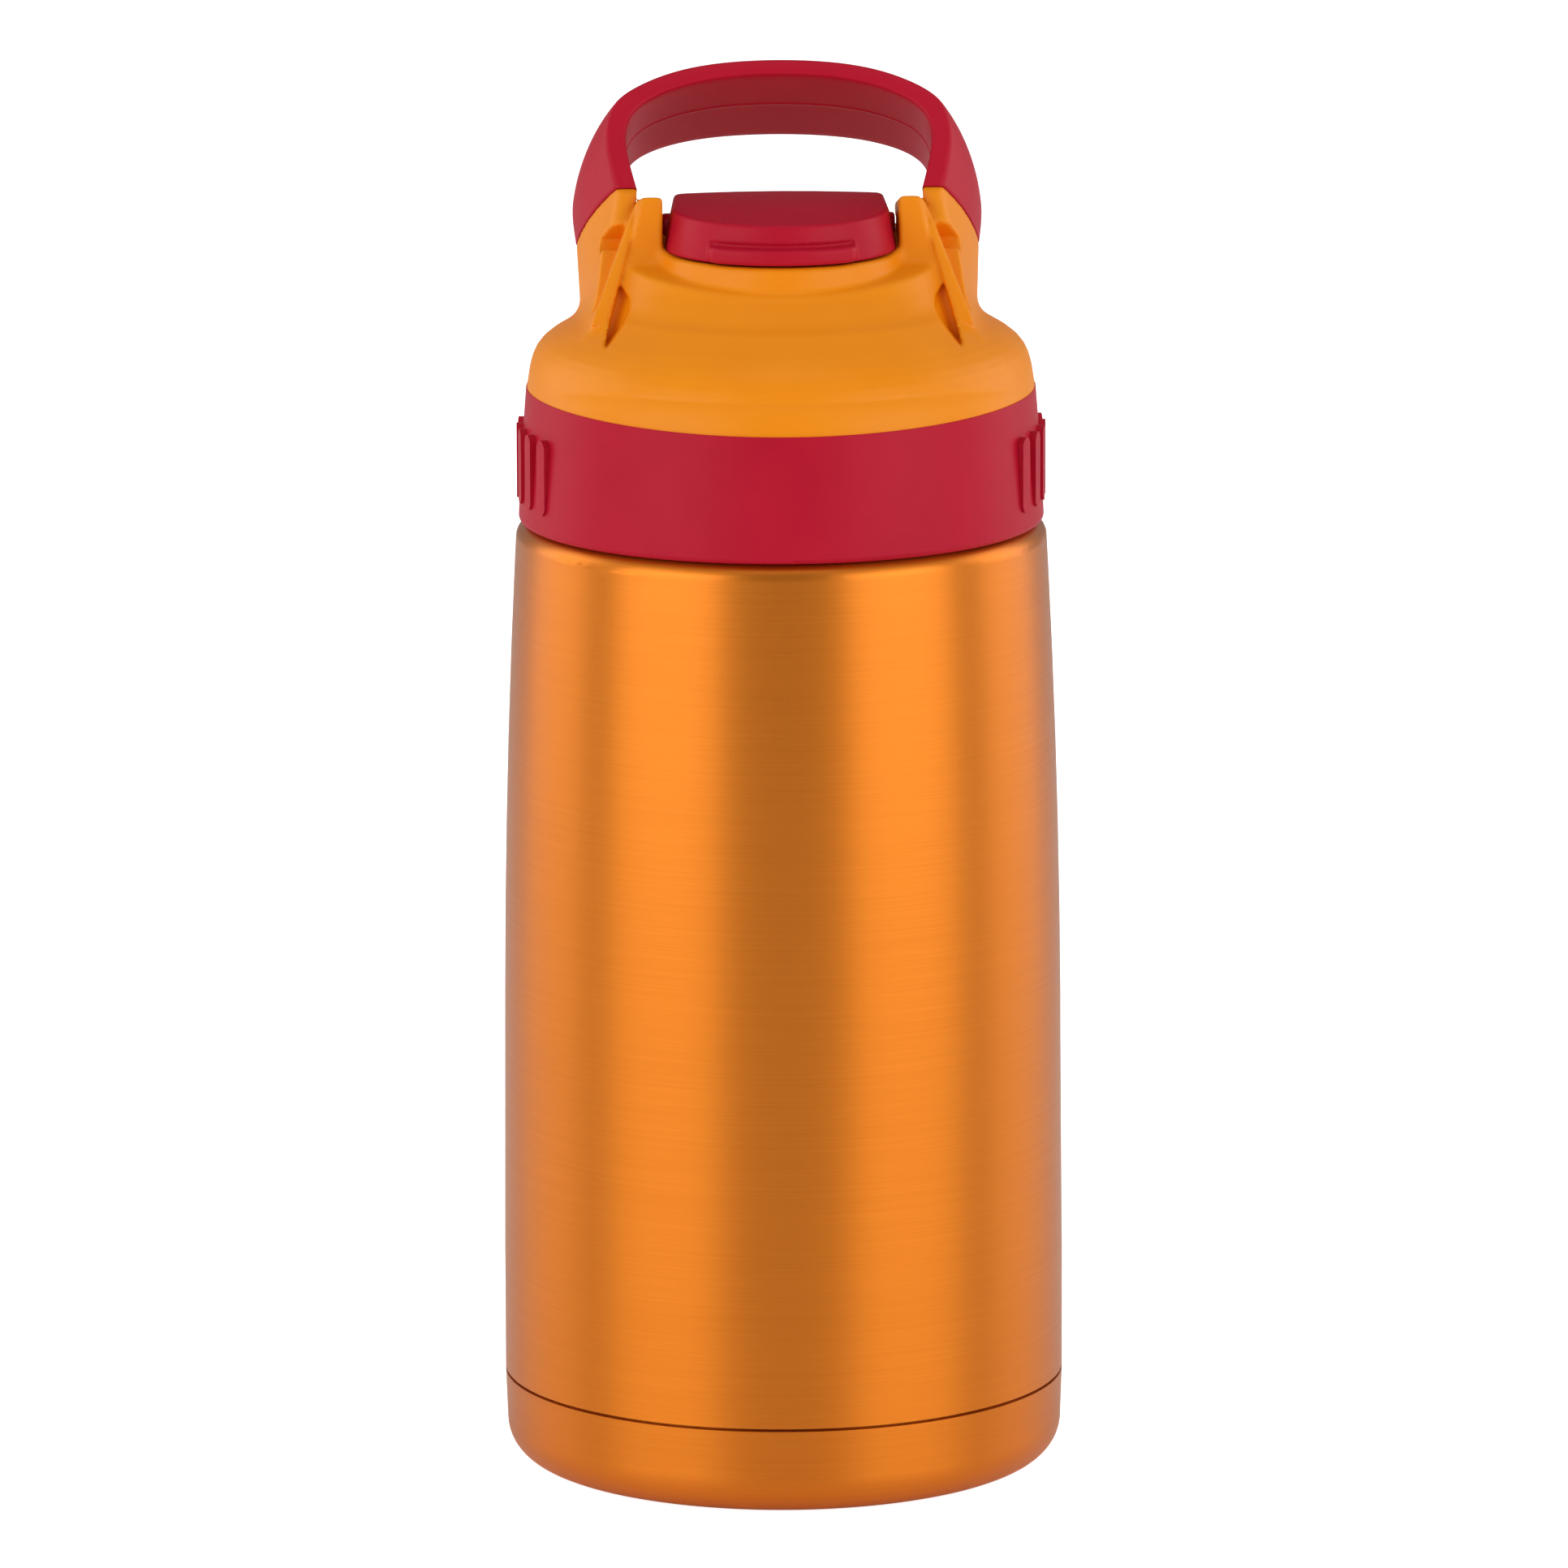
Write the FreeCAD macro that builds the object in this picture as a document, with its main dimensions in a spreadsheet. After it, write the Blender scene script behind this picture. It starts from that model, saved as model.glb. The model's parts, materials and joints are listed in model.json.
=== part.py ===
import FreeCAD, Part
import math
import os

import Sketcher
from FreeCAD import Placement, Rotation, Vector

# A child's vacuum insulated drinking bottle: a steel bottle with a screw lid, a folding straw
# spout under a flip cover, and a carry loop. The origin is the centre of the foot, +Z is up, and
# -Y is the front, where the cover has its thumb lip.

DIMENSIONS = (
    # name, millimetres or degrees, what it is
    ("body_radius", 36.5, "steel wall above the seam"),
    ("taper_radius", 36.26, "steel wall where its long curve starts"),
    ("brow_radius", 34.62, "steel wall where its long curve ends"),
    ("wall_curve", 1280, "radius of the wall's long curve"),
    ("seam_height", 11.7, "middle of the seam between wall and base cap"),
    ("seam_gap", 0.4, "height of that seam"),
    ("band_top", 28, "top of the truly round band"),
    ("taper_top", 62, "start of the long curve"),
    ("brow_height", 118.5, "end of the long curve"),
    ("shoulder_top", 124.2, "flat steel shoulder under the collar"),
    ("shoulder_round", 2, "rounding of the shoulder's edge"),
    ("shoulder_edge", 34.42, "steel wall where that rounding starts"),
    ("outer_wall", 0.6, "thickness of the outer steel"),
    ("inner_wall", 0.5, "thickness of the inner steel"),
    ("neck_radius", 30.2, "outside of the neck"),
    ("mouth_top", 139.5, "rim of the mouth"),
    ("thread_lead", 5, "rise of the lid in one turn"),
    ("thread_rise", 7, "height over which the thread climbs"),
    ("thread_depth", 1.1, "height of the thread's ridge"),
    ("thread_root", 2, "width of the ridge at its foot"),
    ("thread_crest", 1.2, "width of the ridge at its top"),
    ("thread_sink", 0.11, "depth of the ridge's foot in its wall"),
    ("thread_start", 127, "lower end of the neck's thread"),
    ("thread_play", 0.3, "axial play between the two threads"),
    ("vessel_radius", 32.4, "outside of the inner vessel"),
    ("vessel_floor", 8.4, "underside of the inner vessel"),
    ("vessel_corner", 6, "rounding of its bottom"),
    ("vessel_brow", 114, "top of its straight wall"),
    ("vessel_neck", 120, "bottom of its neck"),
    ("neck_play", 0.2, "gap between the two necks"),
    ("cap_wall", 0.8, "thickness of the base cap"),
    ("cap_round", 5, "rounding of the base"),
    ("cap_foot_radius", 36.26, "base cap where its rounding starts"),
    ("foot_inner", 28, "inside of the standing ring"),
    ("foot_recess", 1.6, "height of the base panel"),
    ("sleeve_radius", 35.2, "outer wall where the base cap covers it"),
    ("sleeve_bottom", 6.2, "lower end of the outer wall"),
    ("vacuum_floor_height", 6.2, "underside of the vacuum floor"),
    ("dimple_radius", 4, "pocket of the seal bead"),
    ("bead_radius", 2.2, "seal bead"),
    ("getter_radius", 5, "getter pellet"),
    ("getter_height", 1.2, "getter pellet"),
    ("getter_offset", 15, "getter pellet from the axis"),
    ("collar_bottom", 124.45, "lower edge of the collar"),
    ("collar_radius", 34.02, "collar near its lower edge"),
    ("collar_top_radius", 32.93, "collar at its upper edge"),
    ("collar_top", 142.3, "collar before its edge is curved"),
    ("collar_curve", 450, "radius of the collar's side"),
    ("collar_round", 0.75, "rounding of the collar's lower edge"),
    ("collar_bore", 31.7, "inside of the collar"),
    ("edge_height", 141.9, "curved edge of the lid at the sides"),
    ("edge_curve", 470, "radius of that edge seen from the side"),
    ("grip_height", 9.8, "side grips"),
    ("grip_middle", 132.3, "middle of the side grips"),
    ("grip_width", 2.4, "one rib of a side grip"),
    ("grip_rise", 0.45, "how far the ribs stand out"),
    ("grip_step", 8, "degrees between ribs"),
    ("spigot_radius", 31, "inside of the lid's spigot"),
    ("spigot_bottom", 136.9, "lower end of the spigot"),
    ("skirt_radius", 32.9, "lid at its lower edge"),
    ("skirt_top_radius", 32.4, "lid at the top of its skirt"),
    ("skirt_top", 144.7, "top of the skirt"),
    ("bevel_curve", 3.4, "rounding between skirt and bevel"),
    ("bevel_radius", 31.75, "lid where its bevel starts"),
    ("bevel_height", 146.8, "start of the bevel"),
    ("slope_radius", 29.6, "lid where its slope starts"),
    ("slope_height", 148.9, "start of the slope"),
    ("crown_radius", 24.4, "lid where its slope ends"),
    ("crown_height", 151.3, "end of the slope"),
    ("crown_middle", 151.9, "shoulder on the axis, inside the tower"),
    ("deck_bottom", 141.3, "underside of the lid deck"),
    ("deck_top", 142.9, "top of the lid deck"),
    ("deck_ledge", 29.4, "ledge that the deck is welded to"),
    ("plug_radius", 28.3, "ring under the deck that holds the gasket"),
    ("plug_wall", 1.1, "thickness of that ring"),
    ("plug_bottom", 137.5, "lower end of that ring"),
    ("gasket_inner", 28.5, "inside of the gasket"),
    ("gasket_outer", 30.8, "outside of the gasket"),
    ("lid_wall", 1.7, "thickness of the lid's walls"),
    ("hollow_radius", 26.85, "upper edge of the hollow under the shoulder"),
    ("hollow_foot", 146, "lower end of the hollow in the tower"),
    ("hollow_top", 156, "upper end of the hollow in the tower"),
    ("tower_bottom", 147, "where the tower leaves the shoulder"),
    ("tower_top", 161, "tower before its terrace is cut"),
    ("tower_foot_wide", 25.4, "half width of the tower's foot"),
    ("tower_foot_deep", 20.6, "half depth of the tower's foot"),
    ("tower_rim_wide", 19.5, "half width of the tower's top"),
    ("tower_rim_deep", 15.3, "half depth of the tower's top"),
    ("terrace_height", 159, "top of the tower beside the posts"),
    ("terrace_slope", 8.7, "degrees that the terrace falls to the front"),
    ("drum_foot", 16.6, "drum around the spout, low"),
    ("drum_rim", 15.5, "drum around the spout, at its rim"),
    ("drum_bottom", 156, "foot of the drum's cone"),
    ("drum_top", 159.6, "rim of the drum"),
    ("well_radius", 13.6, "well that the spout folds into"),
    ("well_floor", 148.6, "floor of the well"),
    ("well_sole", 1.36, "thickness of that floor"),
    ("post_inner", 15.4, "inner face of a hinge post"),
    ("post_top_outer", 18.1, "outer face of a hinge post at its top"),
    ("post_foot_outer", 20.4, "outer face of a hinge post at its foot"),
    ("post_front", -0.5, "front face of a hinge post"),
    ("post_back", 16.3, "rear face of a hinge post"),
    ("post_foot", 155, "foot of a hinge post"),
    ("post_top", 166, "top of a hinge post"),
    ("hinge_depth", 13.5, "hinge pin behind the axis"),
    ("hinge_height", 159.8, "hinge pin above the foot"),
    ("pin_radius", 1, "hinge pin"),
    ("pin_length", 35.6, "hinge pin"),
    ("barrel_radius", 2.5, "hinge barrel of the cover"),
    ("barrel_half", 15.2, "half length of the barrel"),
    ("running_gap", 0.05, "radial play of pin and trunnions"),
    ("trough_gap", 0.4, "play around the barrel in its trough"),
    ("cover_bottom", 159.8, "lower edge of the cover"),
    ("cover_top", 164.9, "top of the cover"),
    ("cover_radius", 15.1, "front of the cover, low"),
    ("cover_top_radius", 14, "front of the cover, at its top"),
    ("cover_rear", 12.3, "rear edge of the cover"),
    ("cover_rear_half", 13.7, "half width of the rear edge"),
    ("cover_bow", 70, "radius of the bowed rear edge"),
    ("cover_wall", 1.3, "thickness of the cover"),
    ("lip_half", 9.6, "half width of the thumb lip"),
    ("lip_rise", 1, "how far the thumb lip stands out"),
    ("lip_height", 2.3, "height of the thumb lip"),
    ("spout_depth", 3, "spout axis behind the bottle's axis"),
    ("spout_height", 153.4, "spout axis above the foot"),
    ("hub_radius", 4.4, "hub of the spout"),
    ("hub_half", 6.4, "half length of the hub"),
    ("trunnion_radius", 1.9, "trunnions of the hub"),
    ("cheek_inner", 9, "inner face of a bearing cheek"),
    ("cheek_outer", 11.2, "outer face of a bearing cheek"),
    ("cheek_half", 3, "half depth of a bearing cheek"),
    ("cheek_rise", 2.9, "cheek above the spout axis"),
    ("neck_bore", 1.8, "channel through hub and neck"),
    ("barb_radius", 2.9, "neck that the mouthpiece is pushed on"),
    ("barb_reach", 12, "end of that neck from the spout axis"),
    ("tip_half_wide", 4.3, "half width of the mouthpiece"),
    ("tip_half_high", 3.2, "half height of the mouthpiece"),
    ("tip_start", 4.7, "start of the mouthpiece from the spout axis"),
    ("tip_reach", 15.2, "end of the mouthpiece from the spout axis"),
    ("tip_bore", 1.5, "drinking hole"),
    ("tip_round", 1.1, "rounding of the mouthpiece"),
    ("spring_radius", 2.7, "middle of the spring's wire"),
    ("spring_wire", 0.25, "radius of the spring's wire"),
    ("spring_pitch", 0.6, "spacing of the spring's turns"),
    ("spring_length", 1.5, "length of the spring's coil"),
    ("spring_start", 6.9, "start of the spring's coil"),
    ("seat_radius", 3.2, "outside of the seat"),
    ("seat_bore", 2.2, "hole of the seat"),
    ("seat_gap", 0.15, "play between seat and hub"),
    ("stem_flange", 5, "flange of the straw stem"),
    ("stem_radius", 3.4, "outside of the stem"),
    ("stem_bore", 2.4, "inside of the stem"),
    ("stem_bottom", 134, "lower end of the stem"),
    ("straw_wall", 0.5, "thickness of the straw"),
    ("straw_bottom", 13, "lower end of the straw"),
    ("vent_offset", -16, "vent valve from the axis"),
    ("vent_disc", 3.6, "disc of the vent valve"),
    ("vent_stem", 1.6, "stem of the vent valve"),
    ("vent_head", 2.2, "head of the vent valve"),
    ("vent_thick", 0.7, "thickness of disc and head"),
    ("loop_depth", 3, "front feet of the loop, behind the axis"),
    ("loop_height", 167.3, "front feet of the loop, above the foot"),
    ("loop_lean", 36, "degrees that the loop leans back"),
    ("loop_width", 17, "width of the band"),
    ("loop_band", 2.6, "thickness of the band"),
    ("loop_foot_half", 21.1, "front edge, half width at the feet"),
    ("loop_belly_half", 22.5, "front edge, greatest half width"),
    ("loop_belly", 8.6, "front edge, height of the greatest width"),
    ("loop_brow_half", 14.5, "front edge, half width below the crown"),
    ("loop_brow", 16.6, "front edge, height of that point"),
    ("loop_crown", 18.8, "front edge, height of the crown"),
    ("flare_foot_half", 26, "rear edge, half width at the feet"),
    ("flare_belly_half", 26.9, "rear edge, greatest half width"),
    ("flare_belly", 6, "rear edge, height of the greatest width"),
    ("flare_brow_half", 16.5, "rear edge, half width below the crown"),
    ("flare_brow", 15.9, "rear edge, height of that point"),
    ("flare_crown", 18.2, "rear edge, height of the crown"),
    ("side_curve", 26, "radius of the loop's sides"),
    ("corner_curve", 11.5, "radius of the loop's corners"),
    ("crown_curve", 48, "radius of the loop's crown"),
    ("brow_drop", 2.26, "inner brow below the outer brow"),
    ("tongue_inset", 0.7, "tongue inside the band's faces"),
    ("tongue_end", 1, "tongue inside the band's edges"),
    ("tongue_length", 5, "tongue in its arm"),
    ("arm_length", 22, "arm from the loop down into the shoulder"),
    ("arm_foot_outer", 24.4, "front edge of an arm at its lower end"),
    ("arm_foot_inner", 20, "inner front edge of an arm at its lower end"),
    ("arm_rear_outer", 25.3, "rear edge of an arm at its lower end"),
    ("arm_rear_inner", 22, "inner rear edge of an arm at its lower end"),
)

doc = FreeCAD.newDocument("drinking_bottle")


def value_of(size):
    return size.value if isinstance(size, Size) else size


def formula_of(size):
    return size.formula if isinstance(size, Size) else repr(size)


class Size:
    """A number that also knows the spreadsheet formula it comes from."""

    def __init__(self, value, formula):
        self.value = value
        self.formula = formula

    def __add__(self, other):
        return Size(self.value + value_of(other), f"({self.formula} + {formula_of(other)})")

    def __sub__(self, other):
        return Size(self.value - value_of(other), f"({self.formula} - {formula_of(other)})")

    def __mul__(self, other):
        return Size(self.value * value_of(other), f"({self.formula} * {formula_of(other)})")

    def __truediv__(self, other):
        return Size(self.value / value_of(other), f"({self.formula} / {formula_of(other)})")

    def __neg__(self):
        return Size(-self.value, f"(-1 * {self.formula})")


class Sizes:
    """The driving dimensions by name, each tied to its cell of the sheet."""

    def __init__(self, sheet_name):
        sheet = doc.addObject("Spreadsheet::Sheet", sheet_name)
        for row, (name, value, meaning) in enumerate(DIMENSIONS, start=1):
            sheet.set(f"A{row}", name)
            sheet.set(f"B{row}", str(value))
            sheet.set(f"C{row}", meaning)
            sheet.setAlias(f"B{row}", name)
            setattr(self, name, Size(value, f"{sheet_name}.{name}"))
        doc.recompute()


d = Sizes("dims")

ALONG_X = Rotation(Vector(0, 0, 1), Vector(1, 0, 0))
ALONG_Y = Rotation(Vector(0, 0, 1), Vector(0, 1, 0))
UPRIGHT = Rotation()
NEARNESS = 0.01  # mm, when two places count as the same


# --- Tools for the features ---------------------------------------------------------------------


def bind(thing, **sizes):
    """Set properties of an object and tie those that come from the sheet to it."""
    for name, size in sizes.items():
        path = name.replace("__", ".")
        if "." not in path:
            setattr(thing, name, value_of(size))
        if isinstance(size, Size):
            thing.setExpression(path, size.formula)


def place(thing, x=0, y=0, z=0, turn=UPRIGHT):
    """Put an object at a point that follows the sheet."""
    thing.Placement = Placement(Vector(value_of(x), value_of(y), value_of(z)), turn)
    bind(thing, Placement__Base__x=x, Placement__Base__y=y, Placement__Base__z=z)
    return thing


def arc_edge(start, end, radius):
    """The short arc between two points; a positive radius has its centre left of the travel."""
    chord = end - start
    middle = (start + end) * 0.5
    left = Vector(-chord.y, chord.x, 0).normalize()
    rise = math.sqrt(max(0, radius * radius - chord.Length * chord.Length / 4))
    centre = middle + left * math.copysign(rise, radius)
    circle = Part.Circle(centre, Vector(0, 0, 1), abs(radius))
    first, last = (start, end) if radius > 0 else (end, start)
    angles = [math.atan2(point.y - centre.y, point.x - centre.x) for point in (first, last)]
    return Part.ArcOfCircle(circle, angles[0], angles[1])


def tie(sketch, kind, side, end, size):
    """Tie one coordinate of a corner to an axis or to the sheet."""
    if not isinstance(size, Size):
        axis = -2 if kind == "DistanceX" else -1
        sketch.addConstraint(Sketcher.Constraint("PointOnObject", side, end, axis))
        return
    number = sketch.addConstraint(Sketcher.Constraint(kind, side, end, size.value))
    sketch.setExpression(f"Constraints[{number}]", size.formula)


def draw(sketch, outline):
    """Draw a closed outline of corners (x, y) or, where an arc leaves one, (x, y, radius)."""
    points = [Vector(value_of(corner[0]), value_of(corner[1]), 0) for corner in outline]
    starts, ends = [], []
    for side, corner in enumerate(outline):
        start, end = points[side], points[(side + 1) % len(points)]
        if len(corner) == 2:
            sketch.addGeometry(Part.LineSegment(start, end))
            forward = True
        else:
            sketch.addGeometry(arc_edge(start, end, value_of(corner[2])))
            forward = value_of(corner[2]) > 0
        starts.append(1 if forward else 2)
        ends.append(2 if forward else 1)
    for side, corner in enumerate(outline):
        following = (side + 1) % len(outline)
        joint = Sketcher.Constraint("Coincident", side, ends[side], following, starts[following])
        sketch.addConstraint(joint)
        tie(sketch, "DistanceX", side, starts[side], corner[0])
        tie(sketch, "DistanceY", side, starts[side], corner[1])
        if len(corner) == 3:
            radius = corner[2] if value_of(corner[2]) > 0 else -corner[2]
            number = sketch.addConstraint(Sketcher.Constraint("Radius", side, radius.value))
            sketch.setExpression(f"Constraints[{number}]", radius.formula)
    return sketch


def sketch_in(body, role, name, offset=0):
    """A sketch on one of a body's origin planes, moved along that plane's normal."""
    sketch = body.newObject("Sketcher::SketchObject", name)
    plane = next(part for part in body.Origin.OriginFeatures if part.Role == role)
    sketch.AttachmentSupport = [(plane, "")]
    sketch.MapMode = "FlatFace"
    sketch.AttachmentOffset = Placement(Vector(0, 0, value_of(offset)), UPRIGHT)
    bind(sketch, AttachmentOffset__Base__z=offset)
    return sketch


def turned(name, outline):
    """A body of revolution from its half section, which is given in radius and height."""
    body = doc.addObject("PartDesign::Body", name)
    sketch = draw(sketch_in(body, "XZ_Plane", name + "_section"), outline)
    turn = body.newObject("PartDesign::Revolution", name + "_turn")
    turn.Profile = sketch
    turn.ReferenceAxis = (sketch, ["V_Axis"])
    turn.Angle = 360
    doc.recompute()
    return body


def threaded(body, outline):
    """Wind a thread's section around a body's axis."""
    sketch = draw(sketch_in(body, "XZ_Plane", body.Name + "_ridge"), outline)
    thread = body.newObject("PartDesign::AdditiveHelix", body.Name + "_thread")
    thread.Profile = sketch
    thread.ReferenceAxis = (sketch, ["V_Axis"])
    thread.Mode = "pitch-height-angle"
    bind(thread, Pitch=d.thread_lead, Height=d.thread_rise)
    doc.recompute()
    return body


def lofted(name, role, low, high, low_outline, high_outline):
    """A body with straight sides between two outlines on parallel planes."""
    body = doc.addObject("PartDesign::Body", name)
    add_loft(body, name + "_loft", role, low, high, low_outline, high_outline)
    return body


def add_loft(body, name, role, low, high, low_outline, high_outline):
    lower = draw(sketch_in(body, role, name + "_from", low), low_outline)
    upper = draw(sketch_in(body, role, name + "_to", high), high_outline)
    loft = body.newObject("PartDesign::AdditiveLoft", name)
    loft.Profile = lower
    loft.Sections = [upper]
    loft.Ruled = True
    doc.recompute()


def padded(name, role, outline, offset, length):
    """A body that is one padded outline."""
    body = doc.addObject("PartDesign::Body", name)
    sketch = draw(sketch_in(body, role, name + "_face", offset), outline)
    pad = body.newObject("PartDesign::Pad", name + "_pad")
    pad.Profile = sketch
    bind(pad, Length=length)
    doc.recompute()
    return body


def cylinder(name, radius, height, x=0, y=0, z=0, turn=UPRIGHT):
    part = doc.addObject("Part::Cylinder", name)
    bind(part, Radius=radius, Height=height)
    return place(part, x, y, z, turn)


def box(name, length, width, height, x=0, y=0, z=0, turn=UPRIGHT):
    part = doc.addObject("Part::Box", name)
    bind(part, Length=length, Width=width, Height=height)
    return place(part, x, y, z, turn)


def cut(name, base, *tools):
    part = doc.addObject("Part::Cut", name)
    part.Base = base
    part.Tool = tools[0] if len(tools) == 1 else fuse(name + "_tools", *tools)
    return part


def fuse(name, *parts):
    if len(parts) > 2:
        part = doc.addObject("Part::MultiFuse", name)
        part.Shapes = list(parts)
        return part
    part = doc.addObject("Part::Fuse", name)
    part.Base, part.Tool = parts
    return part


def common(name, *parts):
    part = doc.addObject("Part::MultiCommon", name)
    part.Shapes = list(parts)
    return part


def pair(name, make):
    """The same feature on both sides; make takes a name and the side, -1 or 1."""
    return fuse(name, make(name + "_right", 1), make(name + "_left", -1))


# --- The steel bottle ---------------------------------------------------------------------------


def thread_section(foot, height, outward):
    """A ridge whose foot is sunk a little into its wall; outward is 1 or -1."""
    sink = d.thread_sink * outward
    flank = (d.thread_root - d.thread_crest) / 2
    crest = foot + d.thread_depth * outward
    corners = [
        (foot - sink, height),
        (crest, height + flank),
        (crest, height + flank + d.thread_crest),
        (foot - sink, height + d.thread_root),
    ]
    return corners if outward > 0 else corners[::-1]


def outer_shell():
    wall = d.outer_wall
    seam_top = d.seam_height + d.seam_gap / 2
    edge_height = d.shoulder_top - d.shoulder_round
    flat = d.shoulder_edge - d.shoulder_round
    neck_end = d.mouth_top - d.inner_wall
    inner_round = d.shoulder_round - wall
    outline = [
        (d.sleeve_radius - wall, d.sleeve_bottom),
        (d.sleeve_radius, d.sleeve_bottom),
        (d.sleeve_radius, seam_top),
        (d.body_radius, seam_top),
        (d.body_radius, d.band_top),
        (d.taper_radius, d.taper_top, d.wall_curve),
        (d.brow_radius, d.brow_height),
        (d.shoulder_edge, edge_height, d.shoulder_round),
        (flat, d.shoulder_top),
        (d.neck_radius, d.shoulder_top),
        (d.neck_radius, neck_end),
        (d.neck_radius - wall, neck_end),
        (d.neck_radius - wall, d.shoulder_top - wall),
        (flat, d.shoulder_top - wall, -inner_round),
        (flat + inner_round, edge_height),
        (d.brow_radius - wall, d.brow_height, -(d.wall_curve - wall)),
        (d.taper_radius - wall, d.taper_top),
        (d.body_radius - wall, d.band_top),
        (d.body_radius - wall, seam_top + wall),
        (d.sleeve_radius - wall, seam_top + wall),
    ]
    body = turned("outer_shell", outline)
    return threaded(body, thread_section(d.neck_radius, d.thread_start, 1))


def base_cap():
    wall = d.cap_wall
    rim = d.seam_height - d.seam_gap / 2
    foot = d.cap_foot_radius - d.cap_round
    outline = [
        (0, d.foot_recess),
        (d.foot_inner - wall, d.foot_recess),
        (d.foot_inner, 0),
        (foot, 0, d.cap_round),
        (d.cap_foot_radius, d.cap_round),
        (d.body_radius, rim),
        (d.body_radius - wall, rim),
        (d.cap_foot_radius - wall, d.cap_round, -(d.cap_round - wall)),
        (foot, wall),
        (d.foot_inner, wall),
        (d.foot_inner - wall, d.foot_recess + wall),
        (0, d.foot_recess + wall),
    ]
    return turned("base_cap", outline)


def inner_vessel():
    wall = d.inner_wall
    neck = d.neck_radius - d.outer_wall - d.neck_play
    corner = d.vessel_corner
    flange = d.mouth_top - wall
    outline = [
        (0, d.vessel_floor),
        (d.vessel_radius - corner, d.vessel_floor, corner),
        (d.vessel_radius, d.vessel_floor + corner),
        (d.vessel_radius, d.vessel_brow),
        (neck, d.vessel_neck),
        (neck, flange),
        (d.neck_radius, flange),
        (d.neck_radius, d.mouth_top),
        (neck - wall, d.mouth_top),
        (neck - wall, d.vessel_neck),
        (d.vessel_radius - wall, d.vessel_brow),
        (d.vessel_radius - wall, d.vessel_floor + corner, -(corner - wall)),
        (d.vessel_radius - corner, d.vessel_floor + wall),
        (0, d.vessel_floor + wall),
    ]
    return turned("inner_vessel", outline)


def vacuum_floor():
    low = d.vacuum_floor_height
    edge = d.sleeve_radius - d.outer_wall
    outline = [
        (0, low + d.inner_wall),
        (d.dimple_radius - d.inner_wall, low + d.inner_wall),
        (d.dimple_radius, low),
        (edge, low),
        (edge, low + d.inner_wall),
        (d.dimple_radius, low + d.inner_wall),
        (d.dimple_radius - d.inner_wall, low + d.inner_wall * 2),
        (0, low + d.inner_wall * 2),
    ]
    return turned("vacuum_floor", outline)


def seal_bead():
    bead = cylinder("seal_bead_blank", d.bead_radius, d.inner_wall)
    place(bead, z=d.vacuum_floor_height)
    rounded = doc.addObject("Part::Chamfer", "seal_bead")
    rounded.Base = bead
    doc.recompute()
    bevel = d.inner_wall.value / 2
    rounded.Edges = [(lower_rim(bead.Shape), bevel, bevel)]
    return rounded


def lower_rim(shape):
    """The number of a cylinder's lower round edge."""
    rims = [(edge.BoundBox.ZMax, number) for number, edge in enumerate(shape.Edges, start=1)]
    return min(rims)[1]


def getter_pellet():
    top = d.vacuum_floor_height + d.inner_wall
    return cylinder("getter_pellet", d.getter_radius, d.getter_height, d.getter_offset, 0, top)


# --- The gasket and the lid ---------------------------------------------------------------------


def ring(name, inner, outer, low, high):
    outline = [(inner, low), (outer, low), (outer, high), (inner, high)]
    return turned(name, outline)


def lid_gasket():
    return ring("lid_gasket", d.gasket_inner, d.gasket_outer, d.mouth_top, d.deck_bottom)


def lid_edge():
    """The long round bar, across the bottle, whose top is the curved edge of the lid."""
    length = d.body_radius * 3
    height = d.edge_height - d.edge_curve
    return cylinder("lid_edge", d.edge_curve, length, -length / 2, 0, height, ALONG_X)


def collar_blank():
    """The plain collar, with its upper edge curved by the lid's edge."""
    outline = [
        (d.collar_bore, d.collar_bottom),
        (d.collar_radius - d.collar_round, d.collar_bottom, d.collar_round),
        (d.collar_radius, d.collar_bottom + d.collar_round, d.collar_curve),
        (d.collar_top_radius, d.collar_top),
        (d.collar_bore, d.collar_top),
    ]
    return common("collar_blank", turned("collar_ring", outline), lid_edge())


def lid_collar(blank):
    """The collar with its side grips and its thread, which runs under the neck's thread."""
    proud = ring("grip_limit", d.collar_bore + d.grip_rise, d.collar_radius + d.grip_rise / 2,
                 d.collar_bottom, d.collar_top)
    ribs = fuse("grip_ribs", *[grip_rib(f"grip_rib_{side}_{step}", 180 * side + angle)
                               for side in (0, 1) for step, angle in enumerate(grip_angles())])
    gripped = fuse("gripped_collar", blank, common("side_grips", proud, ribs))
    section_foot = d.thread_start - d.thread_root - d.thread_play
    section = thread_section(d.collar_bore, section_foot, -1)
    thread = threaded(doc.addObject("PartDesign::Body", "collar_ridge"), section)
    return fuse("lid_collar", gripped, thread)


def grip_angles():
    return [d.grip_step.value * step for step in (-3, -2, -1, 0, 1, 2, 3)]


def grip_rib(name, angle):
    """One upright rounded rib, padded outwards across the collar's wall."""
    half = d.grip_width / 2
    end = d.grip_height / 2
    outline = [
        (half, half - end),
        (half, end - half, half),
        (0, end, half),
        (-half, end - half),
        (-half, half - end, half),
        (0, -end, half),
    ]
    rib = padded(name, "YZ_Plane", outline, d.collar_bore + d.grip_rise, d.body_radius / 8)
    return place(rib, z=d.grip_middle, turn=Rotation(Vector(0, 0, 1), angle))


def oval(name, wide, deep, height):
    """A level oval, wide across the bottle and deep from front to rear."""
    curve = doc.addObject("Part::Ellipse", name)
    bind(curve, MajorRadius=wide, MinorRadius=deep)
    return place(curve, z=height)


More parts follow.
